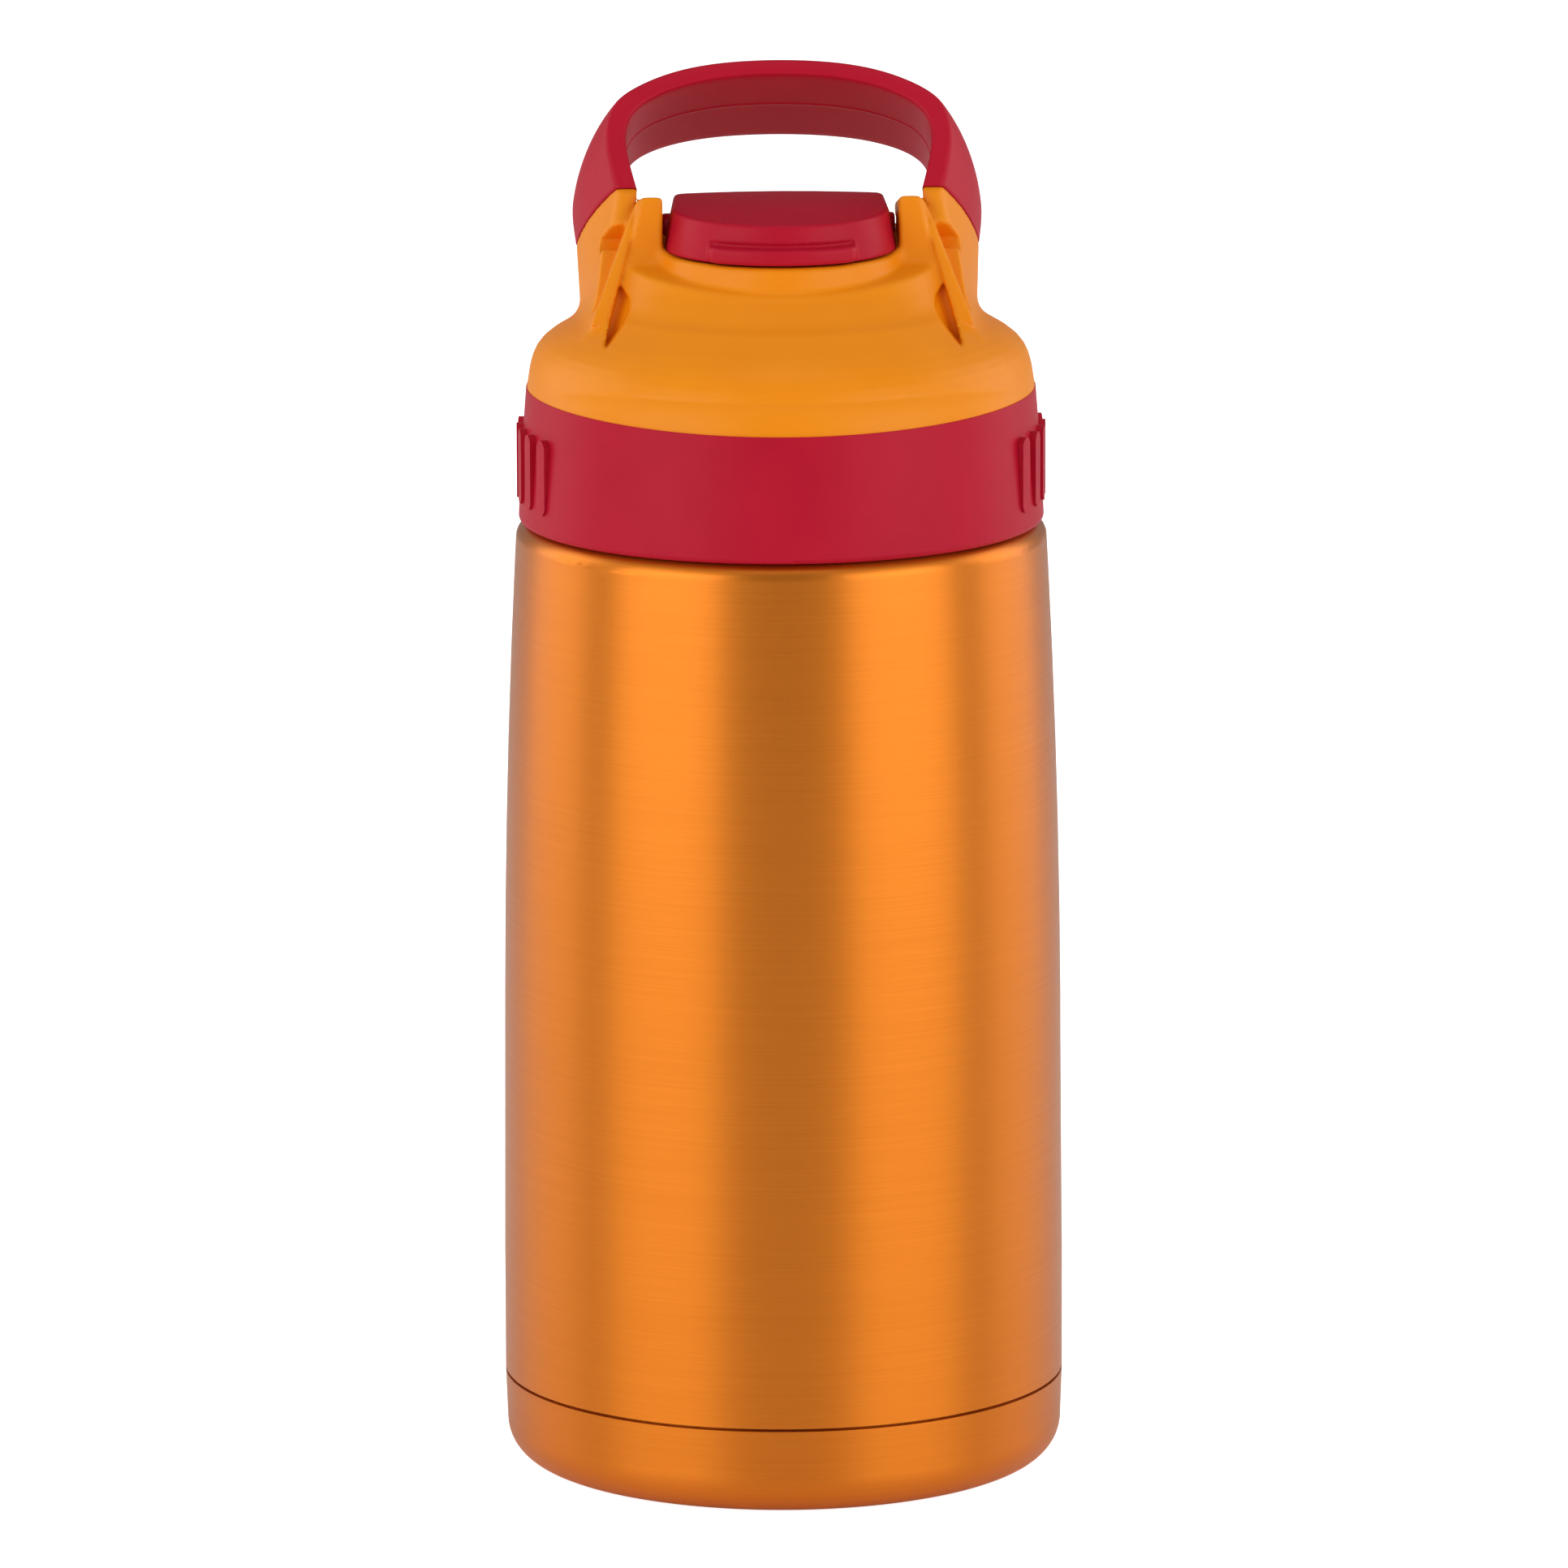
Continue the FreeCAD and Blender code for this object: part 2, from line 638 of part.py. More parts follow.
def oval_cone(name, inset, low, high):
    """The tower's cone, or its hollow when it is inset, between two of the tower's heights."""
    part = doc.addObject("Part::Loft", name)
    part.Sections = [
        oval(name + "_foot", d.tower_foot_wide - inset, d.tower_foot_deep - inset, low),
        oval(name + "_rim", d.tower_rim_wide - inset, d.tower_rim_deep - inset, high),
    ]
    part.Solid = True
    part.Ruled = True
    return part


def shoulder_blank():
    outline = [
        (0, d.spigot_bottom),
        (d.skirt_radius, d.spigot_bottom),
        (d.skirt_radius, d.collar_top),
        (d.skirt_top_radius, d.skirt_top),
        (d.bevel_radius, d.bevel_height, d.bevel_curve),
        (d.slope_radius, d.slope_height),
        (d.crown_radius, d.crown_height),
        (0, d.crown_middle),
    ]
    return turned("shoulder_blank", outline)


def terrace():
    """The tower's cone, level beside the posts and falling to the front."""
    cone = oval_cone("tower_cone", 0, d.tower_bottom, d.tower_top)
    span = d.body_radius * 2
    level = box("terrace_level", span, span, span, -span / 2, -span / 2, d.terrace_height)
    outline = [
        (0, d.terrace_height),
        (0, d.terrace_height + span),
        (-span, d.terrace_height + span),
        (-span, d.terrace_height - span * math.tan(math.radians(d.terrace_slope.value))),
    ]
    front = padded("terrace_front", "YZ_Plane", outline, -span / 2, span)
    return cut("tower", cone, level, front)


def drum():
    part = doc.addObject("Part::Cone", "drum")
    bind(part, Radius1=d.drum_foot, Radius2=d.drum_rim, Height=d.drum_top - d.drum_bottom)
    return place(part, z=d.drum_bottom)


def hinge_post(name, side):
    outline = [
        (d.post_inner * side, d.post_foot),
        (d.post_foot_outer * side, d.post_foot),
        (d.post_top_outer * side, d.post_top),
        (d.post_inner * side, d.post_top),
    ]
    length = d.post_back - d.post_front
    return padded(name, "XZ_Plane", outline, -d.post_back, length)


def rear_block():
    """The solid bridge behind the spout that carries the hinge posts."""
    outline = [
        (-d.post_foot_outer, d.tower_bottom),
        (d.post_foot_outer, d.tower_bottom),
        (d.post_top_outer, d.terrace_height),
        (-d.post_top_outer, d.terrace_height),
    ]
    return padded("rear_block", "XZ_Plane", outline, -d.post_back, d.post_back)


def leaning(part):
    """Place a piece of the loop, whose own frame has the loop upright and the band along +Y."""
    lean = Rotation(Vector(1, 0, 0), -d.loop_lean.value)
    return place(part, 0, d.loop_depth, d.loop_height, lean)


def arm(name, side):
    foot = -d.arm_length
    band = d.loop_band
    front = [
        ((d.loop_foot_half - band) * side, 0),
        (d.arm_foot_inner * side, foot),
        (d.arm_foot_outer * side, foot),
        (d.loop_foot_half * side, 0),
    ]
    rear = [
        ((d.flare_foot_half - band) * side, 0),
        (d.arm_rear_inner * side, foot),
        (d.arm_rear_outer * side, foot),
        (d.flare_foot_half * side, 0),
    ]
    return leaning(lofted(name, "XZ_Plane", 0, -d.loop_width, front, rear))


def bearing_cheek(name, side):
    near = d.cheek_inner if side > 0 else -d.cheek_outer
    height = d.spout_height + d.cheek_rise - d.well_floor
    return box(name, d.cheek_outer - d.cheek_inner, d.cheek_half * 2, height,
               near, d.spout_depth - d.cheek_half, d.well_floor)


def lid_hollow():
    """The space above the deck, around the well."""
    ledge = d.deck_ledge
    roof = d.well_floor - d.well_sole
    outline = [
        (0, d.spigot_bottom),
        (d.spigot_radius, d.spigot_bottom),
        (d.spigot_radius, d.deck_top),
        (ledge, d.deck_top),
        (ledge, d.deck_top + d.lid_wall),
        (d.hollow_radius, roof),
        (0, roof),
    ]
    lower = turned("hollow_below", outline)
    upper = oval_cone("hollow_cone", d.lid_wall, d.hollow_foot, d.hollow_top)
    well = cylinder("well_tube", d.well_radius + d.lid_wall, d.terrace_height)
    return lower, cut("hollow_above", upper, well)


def lid_housing(collar, loop):
    """The orange moulding, with its seats for the collar below and the loop above."""
    blank = fuse("housing_blank", shoulder_blank(), terrace(), drum(), rear_block(),
                 pair("hinge_posts", hinge_post), pair("arms", arm))
    depth = d.terrace_height - d.well_floor
    well = cylinder("well", d.well_radius, depth * 2, z=d.well_floor)
    trough_length = d.post_inner * 2
    trough = cylinder("barrel_trough", d.barrel_radius + d.trough_gap, trough_length,
                      -d.post_inner, d.hinge_depth, d.hinge_height, ALONG_X)
    hole = cylinder("seat_hole", d.seat_radius, depth * 2, 0, d.spout_depth,
                    d.well_floor - depth)
    bore = cylinder("pin_bore", d.pin_radius, d.pin_length, -d.pin_length / 2,
                    d.hinge_depth, d.hinge_height, ALONG_X)
    below, above = lid_hollow()
    shell = cut("housing_shell", blank, below, above, well, trough, hole, bore, collar, loop)
    cheeks = pair("bearing_cheeks", bearing_cheek)
    bearings = cylinder("trunnion_bores", d.trunnion_radius + d.running_gap,
                        d.cheek_outer * 2, -d.cheek_outer, d.spout_depth, d.spout_height, ALONG_X)
    return fuse("lid_housing", shell, cut("bored_cheeks", cheeks, bearings))


def lid_deck():
    outline = [
        (0, d.deck_bottom),
        (d.plug_radius - d.plug_wall, d.deck_bottom),
        (d.plug_radius - d.plug_wall, d.plug_bottom),
        (d.plug_radius, d.plug_bottom),
        (d.plug_radius, d.deck_bottom),
        (d.spigot_radius, d.deck_bottom),
        (d.spigot_radius, d.deck_top),
        (0, d.deck_top),
    ]
    disc = turned("deck_disc", outline)
    through = d.deck_top * 2
    stem = cylinder("deck_stem_hole", d.stem_radius, through, y=d.spout_depth)
    vent = cylinder("deck_vent_hole", d.vent_stem, through, y=d.vent_offset)
    return cut("lid_deck", disc, stem, vent)


def hinge_pin():
    return cylinder("hinge_pin", d.pin_radius, d.pin_length, -d.pin_length / 2,
                    d.hinge_depth, d.hinge_height, ALONG_X)


def loop_outline(foot, belly, belly_height, brow, brow_height, crown, band):
    """The loop as an arch with thickness, drawn from the right foot round to the left."""
    inner_crown = crown - band
    inner_brow = brow - band / 2
    inner_brow_height = brow_height - d.brow_drop
    side, corner, top = d.side_curve, d.corner_curve, d.crown_curve
    return [
        (foot, 0, side),
        (belly, belly_height, corner),
        (brow, brow_height, top),
        (0, crown, top),
        (-brow, brow_height, corner),
        (-belly, belly_height, side),
        (-foot, 0),
        (band - foot, 0, -side),
        (band - belly, belly_height, band - corner),
        (-inner_brow, inner_brow_height, band - top),
        (0, inner_crown, band - top),
        (inner_brow, inner_brow_height, band - corner),
        (belly - band, belly_height, -side),
        (foot - band, 0),
    ]


def handle_loop():
    front = loop_outline(d.loop_foot_half, d.loop_belly_half, d.loop_belly, d.loop_brow_half,
                         d.loop_brow, d.loop_crown, d.loop_band)
    rear = loop_outline(d.flare_foot_half, d.flare_belly_half, d.flare_belly, d.flare_brow_half,
                        d.flare_brow, d.flare_crown, d.loop_band)
    loop = lofted("loop_band", "XZ_Plane", 0, -d.loop_width, front, rear)
    tongues = pair("loop_tongues", loop_tongue)
    return fuse("handle_loop", leaning(loop), tongues)


def loop_tongue(name, side):
    inset = d.tongue_inset

    def outline(half):
        outer = (half - inset) * side
        inner = (half - d.loop_band + inset) * side
        return [(inner, 0), (inner, -d.tongue_length), (outer, -d.tongue_length), (outer, 0)]

    near = d.tongue_end
    far = d.loop_width - d.tongue_end
    slant = (d.flare_foot_half - d.loop_foot_half) / d.loop_width
    front = outline(d.loop_foot_half + slant * near)
    rear = outline(d.loop_foot_half + slant * far)
    return leaning(lofted(name, "XZ_Plane", -near, -far, front, rear))


def straw_stem():
    flange_top = d.well_floor - d.well_sole
    outline = [
        (d.stem_bore, d.stem_bottom),
        (d.stem_radius, d.stem_bottom),
        (d.stem_radius, flange_top - d.lid_wall),
        (d.stem_flange, flange_top - d.lid_wall),
        (d.stem_flange, flange_top),
        (d.stem_bore, flange_top),
    ]
    return place(turned("straw_stem", outline), y=d.spout_depth)


def straw():
    tube = ring("straw", d.stem_radius, d.stem_radius + d.straw_wall, d.straw_bottom,
                d.deck_bottom)
    return place(tube, y=d.spout_depth)


def vent_valve():
    outline = [
        (0, d.deck_bottom - d.vent_thick),
        (d.vent_disc, d.deck_bottom - d.vent_thick),
        (d.vent_disc, d.deck_bottom),
        (d.vent_stem, d.deck_bottom),
        (d.vent_stem, d.deck_top),
        (d.vent_head, d.deck_top),
        (d.vent_head, d.deck_top + d.vent_thick),
        (0, d.deck_top + d.vent_thick),
    ]
    return place(turned("vent_valve", outline), y=d.vent_offset)


# --- The spout and its cover --------------------------------------------------------------------


def spout_seat():
    """A short tube whose upper end is hollowed to the hub."""
    low = d.well_floor - d.well_sole
    tube = place(ring("seat_tube", d.seat_bore, d.seat_radius, low, d.spout_height),
                 y=d.spout_depth)
    hub = cylinder("seat_saddle", d.hub_radius + d.seat_gap, d.hub_half * 2, -d.hub_half,
                   d.spout_depth, d.spout_height, ALONG_X)
    return cut("spout_seat", tube, hub)


def spout_spring():
    """The torsion spring's coil, beside the hub on the right trunnion."""
    helix = doc.addObject("Part::Helix", "spring_path")
    bind(helix, Radius=d.spring_radius, Pitch=d.spring_pitch, Height=d.spring_length)
    section = doc.addObject("Part::Circle", "spring_section")
    bind(section, Radius=d.spring_wire)
    place(section, x=d.spring_radius, turn=Rotation(Vector(0, 0, 1), Vector(0, -1, 0)))
    coil = doc.addObject("Part::Sweep", "spout_spring")
    coil.Sections = [section]
    coil.Spine = (helix, ["Edge1"])
    coil.Solid = True
    coil.Frenet = True
    return place(coil, d.spring_start, d.spout_depth, d.spout_height, ALONG_X)


def spout_rotor():
    hub = cylinder("rotor_hub", d.hub_radius, d.hub_half * 2, -d.hub_half, d.spout_depth,
                   d.spout_height, ALONG_X)
    trunnions = cylinder("rotor_trunnions", d.trunnion_radius, d.cheek_outer * 2,
                         -d.cheek_outer, d.spout_depth, d.spout_height, ALONG_X)
    neck = cylinder("rotor_neck", d.barb_radius, d.barb_reach, 0,
                    d.spout_depth - d.barb_reach, d.spout_height, ALONG_Y)
    length = d.barb_reach + d.hub_radius
    channel = cylinder("rotor_channel", d.neck_bore, length * 2, 0,
                       d.spout_depth - length, d.spout_height, ALONG_Y)
    return cut("spout_rotor", fuse("rotor_solid", hub, trunnions, neck), channel)


def spout_tip():
    wide = d.tip_half_wide - d.tip_half_high
    high = d.tip_half_high
    outline = [
        (-wide, -high),
        (wide, -high, high),
        (wide + high, 0, high),
        (wide, high),
        (-wide, high, high),
        (-wide - high, 0, high),
    ]
    sleeve = padded("tip_sleeve", "XZ_Plane", outline, d.tip_start, d.tip_reach - d.tip_start)
    pad = sleeve.Tip
    edges = [f"Edge{number}" for number, edge in enumerate(pad.Shape.Edges, start=1)
             if edge.BoundBox.YMax < NEARNESS - d.tip_reach.value]
    rounding = sleeve.newObject("PartDesign::Fillet", "tip_rounding")
    rounding.Base = (pad, edges)
    bind(rounding, Radius=d.tip_round)
    place(sleeve, y=d.spout_depth, z=d.spout_height)
    barb = cylinder("tip_barb_space", d.barb_radius, d.barb_reach, 0,
                    d.spout_depth - d.barb_reach, d.spout_height, ALONG_Y)
    mouth = cylinder("tip_hole", d.tip_bore, d.tip_reach * 2, 0,
                     d.spout_depth - d.tip_reach * 1.5, d.spout_height, ALONG_Y)
    return cut("spout_tip", sleeve, barb, mouth)


def cover_outline(radius, rear_half, rear):
    return [
        (-radius, 0, radius),
        (0, -radius, radius),
        (radius, 0),
        (rear_half, rear, d.cover_bow),
        (-rear_half, rear),
    ]


def spout_cover():
    taper = d.cover_radius - d.cover_top_radius
    wall = d.cover_wall
    outer = lofted("cover_solid", "XY_Plane", d.cover_bottom, d.cover_top,
                   cover_outline(d.cover_radius, d.cover_rear_half, d.cover_rear),
                   cover_outline(d.cover_top_radius, d.cover_rear_half - taper, d.cover_rear))
    inner = lofted("cover_space", "XY_Plane", d.cover_bottom, d.cover_top - wall,
                   cover_outline(d.cover_radius - wall, d.cover_rear_half - wall,
                                 d.cover_rear - wall),
                   cover_outline(d.cover_top_radius - wall, d.cover_rear_half - taper - wall,
                                 d.cover_rear - wall))
    barrel = cylinder("cover_barrel", d.barrel_radius, d.barrel_half * 2, -d.barrel_half,
                      d.hinge_depth, d.hinge_height, ALONG_X)
    bore = cylinder("cover_bore", d.pin_radius + d.running_gap, d.barrel_half * 2,
                    -d.barrel_half, d.hinge_depth, d.hinge_height, ALONG_X)
    disc = cylinder("lip_disc", d.cover_radius + d.lip_rise, d.lip_height, z=d.cover_bottom)
    reach = d.cover_radius * 2
    front = box("lip_limit", d.lip_half * 2, reach, d.lip_height, -d.lip_half, -reach,
                d.cover_bottom)
    lip = common("thumb_lip", disc, front)
    shell = cut("cover_shell", fuse("cover_blank", outer, lip), inner)
    return cut("spout_cover", fuse("cover_with_barrel", shell, barrel), bore)


# --- Build, check and write ---------------------------------------------------------------------


def build():
    collar = collar_blank()
    loop = handle_loop()
    return [
        outer_shell(), base_cap(), inner_vessel(), vacuum_floor(), seal_bead(), getter_pellet(),
        lid_gasket(), lid_collar(collar), lid_housing(collar, loop), loop, lid_deck(), hinge_pin(),
        straw_stem(), straw(), vent_valve(), spout_seat(), spout_spring(), spout_rotor(),
        spout_tip(), spout_cover(),
    ]


def check(parts):
    """Stop if any feature failed, or if a piece is empty, broken or more than one solid."""
    for thing in doc.Objects:
        if {"Invalid", "Error"} & set(thing.State):
            raise RuntimeError(f"{thing.Label} failed: {thing.State}")
    for part in parts:
        shape = part.Shape
        if shape.isNull() or not shape.isValid():
            raise RuntimeError(f"{part.Label} has no valid shape")
        if len(shape.Solids) != 1:
            raise RuntimeError(f"{part.Label} has {len(shape.Solids)} solids")


def write(parts):
    os.makedirs("parts", exist_ok=True)
    for part in parts:
        part.Shape.exportStep(f"parts/{part.Label}.step")
        box_size = part.Shape.BoundBox
        print(f"{part.Label}: {part.Shape.Volume / 1000:.2f} cm3, {box_size.ZLength:.1f} mm high")


subparts = build()
doc.recompute()
check(subparts)
write(subparts)
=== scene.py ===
import json
import math

import bmesh
import bpy
import numpy as np
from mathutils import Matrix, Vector


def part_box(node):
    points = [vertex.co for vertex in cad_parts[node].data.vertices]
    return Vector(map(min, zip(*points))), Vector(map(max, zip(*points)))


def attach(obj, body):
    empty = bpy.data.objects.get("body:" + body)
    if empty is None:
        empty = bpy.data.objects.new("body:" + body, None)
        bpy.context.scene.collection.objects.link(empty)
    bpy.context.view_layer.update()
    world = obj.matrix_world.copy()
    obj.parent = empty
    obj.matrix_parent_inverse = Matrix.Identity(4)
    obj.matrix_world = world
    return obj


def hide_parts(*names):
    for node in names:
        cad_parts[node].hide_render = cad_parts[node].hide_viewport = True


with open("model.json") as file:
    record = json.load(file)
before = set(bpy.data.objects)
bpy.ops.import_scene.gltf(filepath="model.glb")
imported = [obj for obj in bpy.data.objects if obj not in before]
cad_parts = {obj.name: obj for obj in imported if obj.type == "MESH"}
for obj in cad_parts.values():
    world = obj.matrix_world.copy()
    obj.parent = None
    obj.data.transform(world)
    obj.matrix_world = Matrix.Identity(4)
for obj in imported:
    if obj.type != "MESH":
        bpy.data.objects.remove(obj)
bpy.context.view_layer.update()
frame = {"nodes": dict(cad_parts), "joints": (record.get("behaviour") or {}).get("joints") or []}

# A child's insulated drinking bottle. Blender works in metres; the shapes below are drawn in
# millimetres, in the frame's own axes: +Z up, -Y the front, the foot's centre at the origin.
MM = 0.001


def box_mm(node):
    """A CAD node's lowest and highest corner in millimetres."""
    low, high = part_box(node)
    return Vector(low) / MM, Vector(high) / MM


def joint_point(name):
    """The place of a joint in millimetres."""
    joint = next(joint for joint in frame["joints"] if joint["name"] == name)
    return Vector(joint["pos_m"]) / MM


# --- Distance fields ----------------------------------------------------------------------------
# A moulded piece is a function of x, y, z in millimetres that is negative inside the piece. Fields
# join and cut each other with rounded corners, and the mesh is laid on the surface at the end.


def join(one, other, rounding=0.0):
    """Either of two fields, with a fillet in the corner between them."""
    low = np.minimum(one, other)
    if np.isscalar(rounding) and rounding == 0:
        return low
    near = np.maximum(rounding - np.abs(one - other), 0) / rounding
    return low - near * near * rounding / 4


def meet(one, other, rounding=0.0):
    """Both of two fields, with their shared edge rounded."""
    return -join(-one, -other, rounding)


def carve(one, tool, rounding=0.0):
    """One field with the other taken away."""
    return meet(one, -tool, rounding)


def slope(u, v, start, end):
    """Distance from the line through two points; negative on its left."""
    along = np.array(end, float) - start
    along /= np.linalg.norm(along)
    return (u - start[0]) * along[1] - (v - start[1]) * along[0]


def convex(u, v, corners, rounding=0.0):
    """A convex outline drawn anticlockwise, with rounded corners."""
    field = None
    for start, end in zip(corners, corners[1:] + corners[:1]):
        side = slope(u, v, start, end)
        field = side if field is None else meet(field, side, rounding)
    return field


def outline(u, v, corners):
    """The distance from any closed outline, negative inside it."""
    nearest = np.full(u.shape, np.inf)
    inside = np.zeros(u.shape, bool)
    for (u0, v0), (u1, v1) in zip(corners, corners[1:] + corners[:1]):
        du, dv = u1 - u0, v1 - v0
        t = np.clip(((u - u0) * du + (v - v0) * dv) / (du * du + dv * dv), 0, 1)
        nearest = np.minimum(nearest, (u - u0 - t * du) ** 2 + (v - v0 - t * dv) ** 2)
        if dv:
            crosses = ((v0 > v) != (v1 > v)) & (u < (v - v0) * du / dv + u0)
            inside ^= crosses
    return np.where(inside, -1, 1) * np.sqrt(nearest)


def between(value, low, high, rounding=0.0):
    """A slab from low to high."""
    return meet(low - value, value - high, rounding)


def rod(u, v, centre, radius):
    """An endless round rod along the third axis."""
    return np.hypot(u - centre[0], v - centre[1]) - radius


def mix(low, high, share):
    """The value at a share of the way from low to high."""
    return low + (high - low) * share


def oval(x, y, wide, deep):
    """About the distance from an oval of the given half width and half depth."""
    reach = np.hypot(x / wide, y / deep)
    pull = np.hypot(x / wide**2, y / deep**2) + 1e-9
    return reach * (reach - 1) / pull


FIELD_STEPS, RELAX_PASSES = 3, 2


def surface(field, low, high, step):
    """Vertices and faces where a field is zero: surface nets, steps onto the field, relaxing."""
    axes = [np.arange(a - step, b + 2 * step, step) for a, b in zip(low, high)]
    shape = tuple(len(axis) for axis in axes)
    values = np.empty(shape, np.float32)
    for k, z in enumerate(axes[2]):
        x, y = np.meshgrid(axes[0], axes[1], indexing="ij")
        values[:, :, k] = field(x, y, np.full_like(x, z))
    inside = values < 0
    corners = [(i, j, k) for i in (0, 1) for j in (0, 1) for k in (0, 1)]
    count = sum(inside[i:shape[0] - 1 + i, j:shape[1] - 1 + j, k:shape[2] - 1 + k].astype(np.int8)
                for i, j, k in corners)
    cells = np.argwhere((count > 0) & (count < 8))
    number = np.full(tuple(n - 1 for n in shape), -1, np.int64)
    number[tuple(cells.T)] = np.arange(len(cells))
    total = np.zeros((len(cells), 3))
    crossings = np.zeros(len(cells))
    for a in corners:
        for b in corners:
            if sum(b) - sum(a) != 1 or any(q < p for p, q in zip(a, b)):
                continue
            va = values[tuple((cells + a).T)].astype(float)
            vb = values[tuple((cells + b).T)].astype(float)
            cut = (va < 0) != (vb < 0)
            share = np.where(cut, va / np.where(cut, va - vb, 1), 0)
            point = np.array(a) + share[:, None] * (np.array(b) - np.array(a))
            total += point * cut[:, None]
            crossings += cut
    origin = np.array([axis[0] for axis in axes])
    points = origin + (cells + total / crossings[:, None]) * step
    faces = []
    for axis in range(3):
        j, k = [(1, 2), (2, 0), (0, 1)][axis]
        first = [slice(None)] * 3
        second = [slice(None)] * 3
        first[axis], second[axis] = slice(0, -1), slice(1, None)
        edges = np.argwhere(inside[tuple(first)] != inside[tuple(second)])
        limit = np.array(number.shape)
        edges = edges[(edges[:, j] > 0) & (edges[:, k] > 0) & (edges[:, j] < limit[j])
                      & (edges[:, k] < limit[k])]
        ring = []
        for dj, dk in ((-1, -1), (0, -1), (0, 0), (-1, 0)):
            cell = edges.copy()
            cell[:, j] += dj
            cell[:, k] += dk
            ring.append(number[tuple(cell.T)])
        quads = np.stack(ring, 1)
        outward = inside[tuple(edges.T)]
        quads[~outward] = quads[~outward][:, ::-1]
        faces.append(quads)
    faces = np.concatenate(faces)
    for _ in range(FIELD_STEPS):
        points -= step_to_field(field, points, step)
    for _ in range(RELAX_PASSES):
        points = relaxed(points, faces)
    return points, faces


def relaxed(points, faces):
    """Each point moved halfway to the middle of its neighbours, which evens out the creases."""
    total = np.zeros_like(points)
    count = np.zeros(len(points))
    for shift in (1, 3):  # the corner before and the corner after
        ends = np.roll(faces, shift, axis=1)
        for axis in range(3):
            total[:, axis] += np.bincount(faces.ravel(), points[ends.ravel(), axis], len(points))
        count += np.bincount(faces.ravel(), minlength=len(points))
    return (points + total / count[:, None]) / 2


def step_to_field(field, points, step):
    """How far each point has to move to lie on the surface."""
    reach = step / 10
    here = field(*points.T)
    pull = np.stack([field(*(points + shift).T) - field(*(points - shift).T)
                     for shift in np.eye(3) * reach], 1) / (2 * reach)
    size = np.maximum((pull * pull).sum(1), 0.05)
    move = here[:, None] * pull / size[:, None]
    length = np.linalg.norm(move, axis=1)
    return move * np.minimum(1, step / np.maximum(length, 1e-9))[:, None]


def new_piece(name, points, faces, material):
    """A smooth mesh object from points in millimetres."""
    mesh = bpy.data.meshes.new(name)
    mesh.from_pydata((np.asarray(points, float) * MM).tolist(), [], np.asarray(faces).tolist())
    mesh.materials.append(material)
    mesh.validate()
    for face in mesh.polygons:
        face.use_smooth = True
    piece = bpy.data.objects.new(name, mesh)
    bpy.context.scene.collection.objects.link(piece)
    return piece


def moulding(name, field, low, high, step, material):
    """A piece meshed from its distance field."""
    points, faces = surface(field, low, high, step)
    return new_piece(name, points, faces, material)


# --- The lid's housing --------------------------------------------------------------------------

hinge = joint_point("cover_flip")
spout_axis = joint_point("spout_lift")
LEAN = math.radians(36)  # how far the loop leans back
LOOP_FOOT = (3.0, 167.3)  # the loop's front feet: Y and Z
LOOP_WIDTH = 17.0
FLANK_BOW = 0.9  # how far the loop's and the arms' outer faces bulge
ARM_DROP = 22  # how far below the loop's feet the arms have their lower widths
LID_SAG_RADIUS = 470
SKIRT_EDGE, SHOULDER_EDGE = (32.45, 144.6), (30.8, 148.0)  # radius and height
CONE_TOP, CONE_HEIGHT = 161, 14
TERRACE, TERRACE_SLOPE = 159, math.radians(8.7)
DRUM_FOOT, DRUM_RIM, DRUM_RADIUS = 156, 159.6, 16.1
POST_INNER, POST_FRONT, POST_BACK = 15.25, -3.5, 16.3
WELL_RADIUS, WELL_FLOOR = 13.6, 148.6
TROUGH_RADIUS, TROUGH_HALF = 2.9, 15.4
SEAT_RADIUS, TRUNNION_RADIUS = 3.2, 1.95
RECESS_DEPTH = 0.6


def loop_frame(y, z):
    """Height above the loop's feet and depth behind its front edge, along the leaning loop."""
    dy, dz = y - LOOP_FOOT[0], z - LOOP_FOOT[1]
    height = dz * math.cos(LEAN) + dy * math.sin(LEAN)
    depth = dy * math.cos(LEAN) - dz * math.sin(LEAN)
    return height, depth


def lid_dip(y):
    """How far the lid's edge and shoulder sag towards the front and the rear."""
    return y * y / (2 * LID_SAG_RADIUS)


def shoulder(radius, level):
    """The skirt over the collar and the slope above it."""
    return outline(radius, level, [
        (0, 141.2), (32.85, 141.2), (32.85, 141.97), SKIRT_EDGE, (32.1, 145.9), (31.6, 147.0),
        SHOULDER_EDGE, (29.6, 148.95), (27.9, 149.95), (24, 151.6), (20, 150), (16, 146), (0, 146)])


def tower_cone(x, y, z):
    """The oval cone around the spout; its front flares out to the skirt's edge."""
    rise = (CONE_TOP - z) / CONE_HEIGHT
    wide = 19.5 + 5.9 * rise + np.clip(rise, 0, 1.1) ** 6
    front = meet(DRUM_RADIUS, 16.5 + 1.6 * (156.5 - z), 2.5)
    deep = np.where(y < 0, front, 15.3 + 5.3 * rise)
    steep = np.where(y < 0, np.clip(front - DRUM_RADIUS, 0, 1.6), 0) * y * y / (x * x + y * y + 1)
    return oval(x, y, wide, deep) / np.sqrt(1.16 + steep * steep)


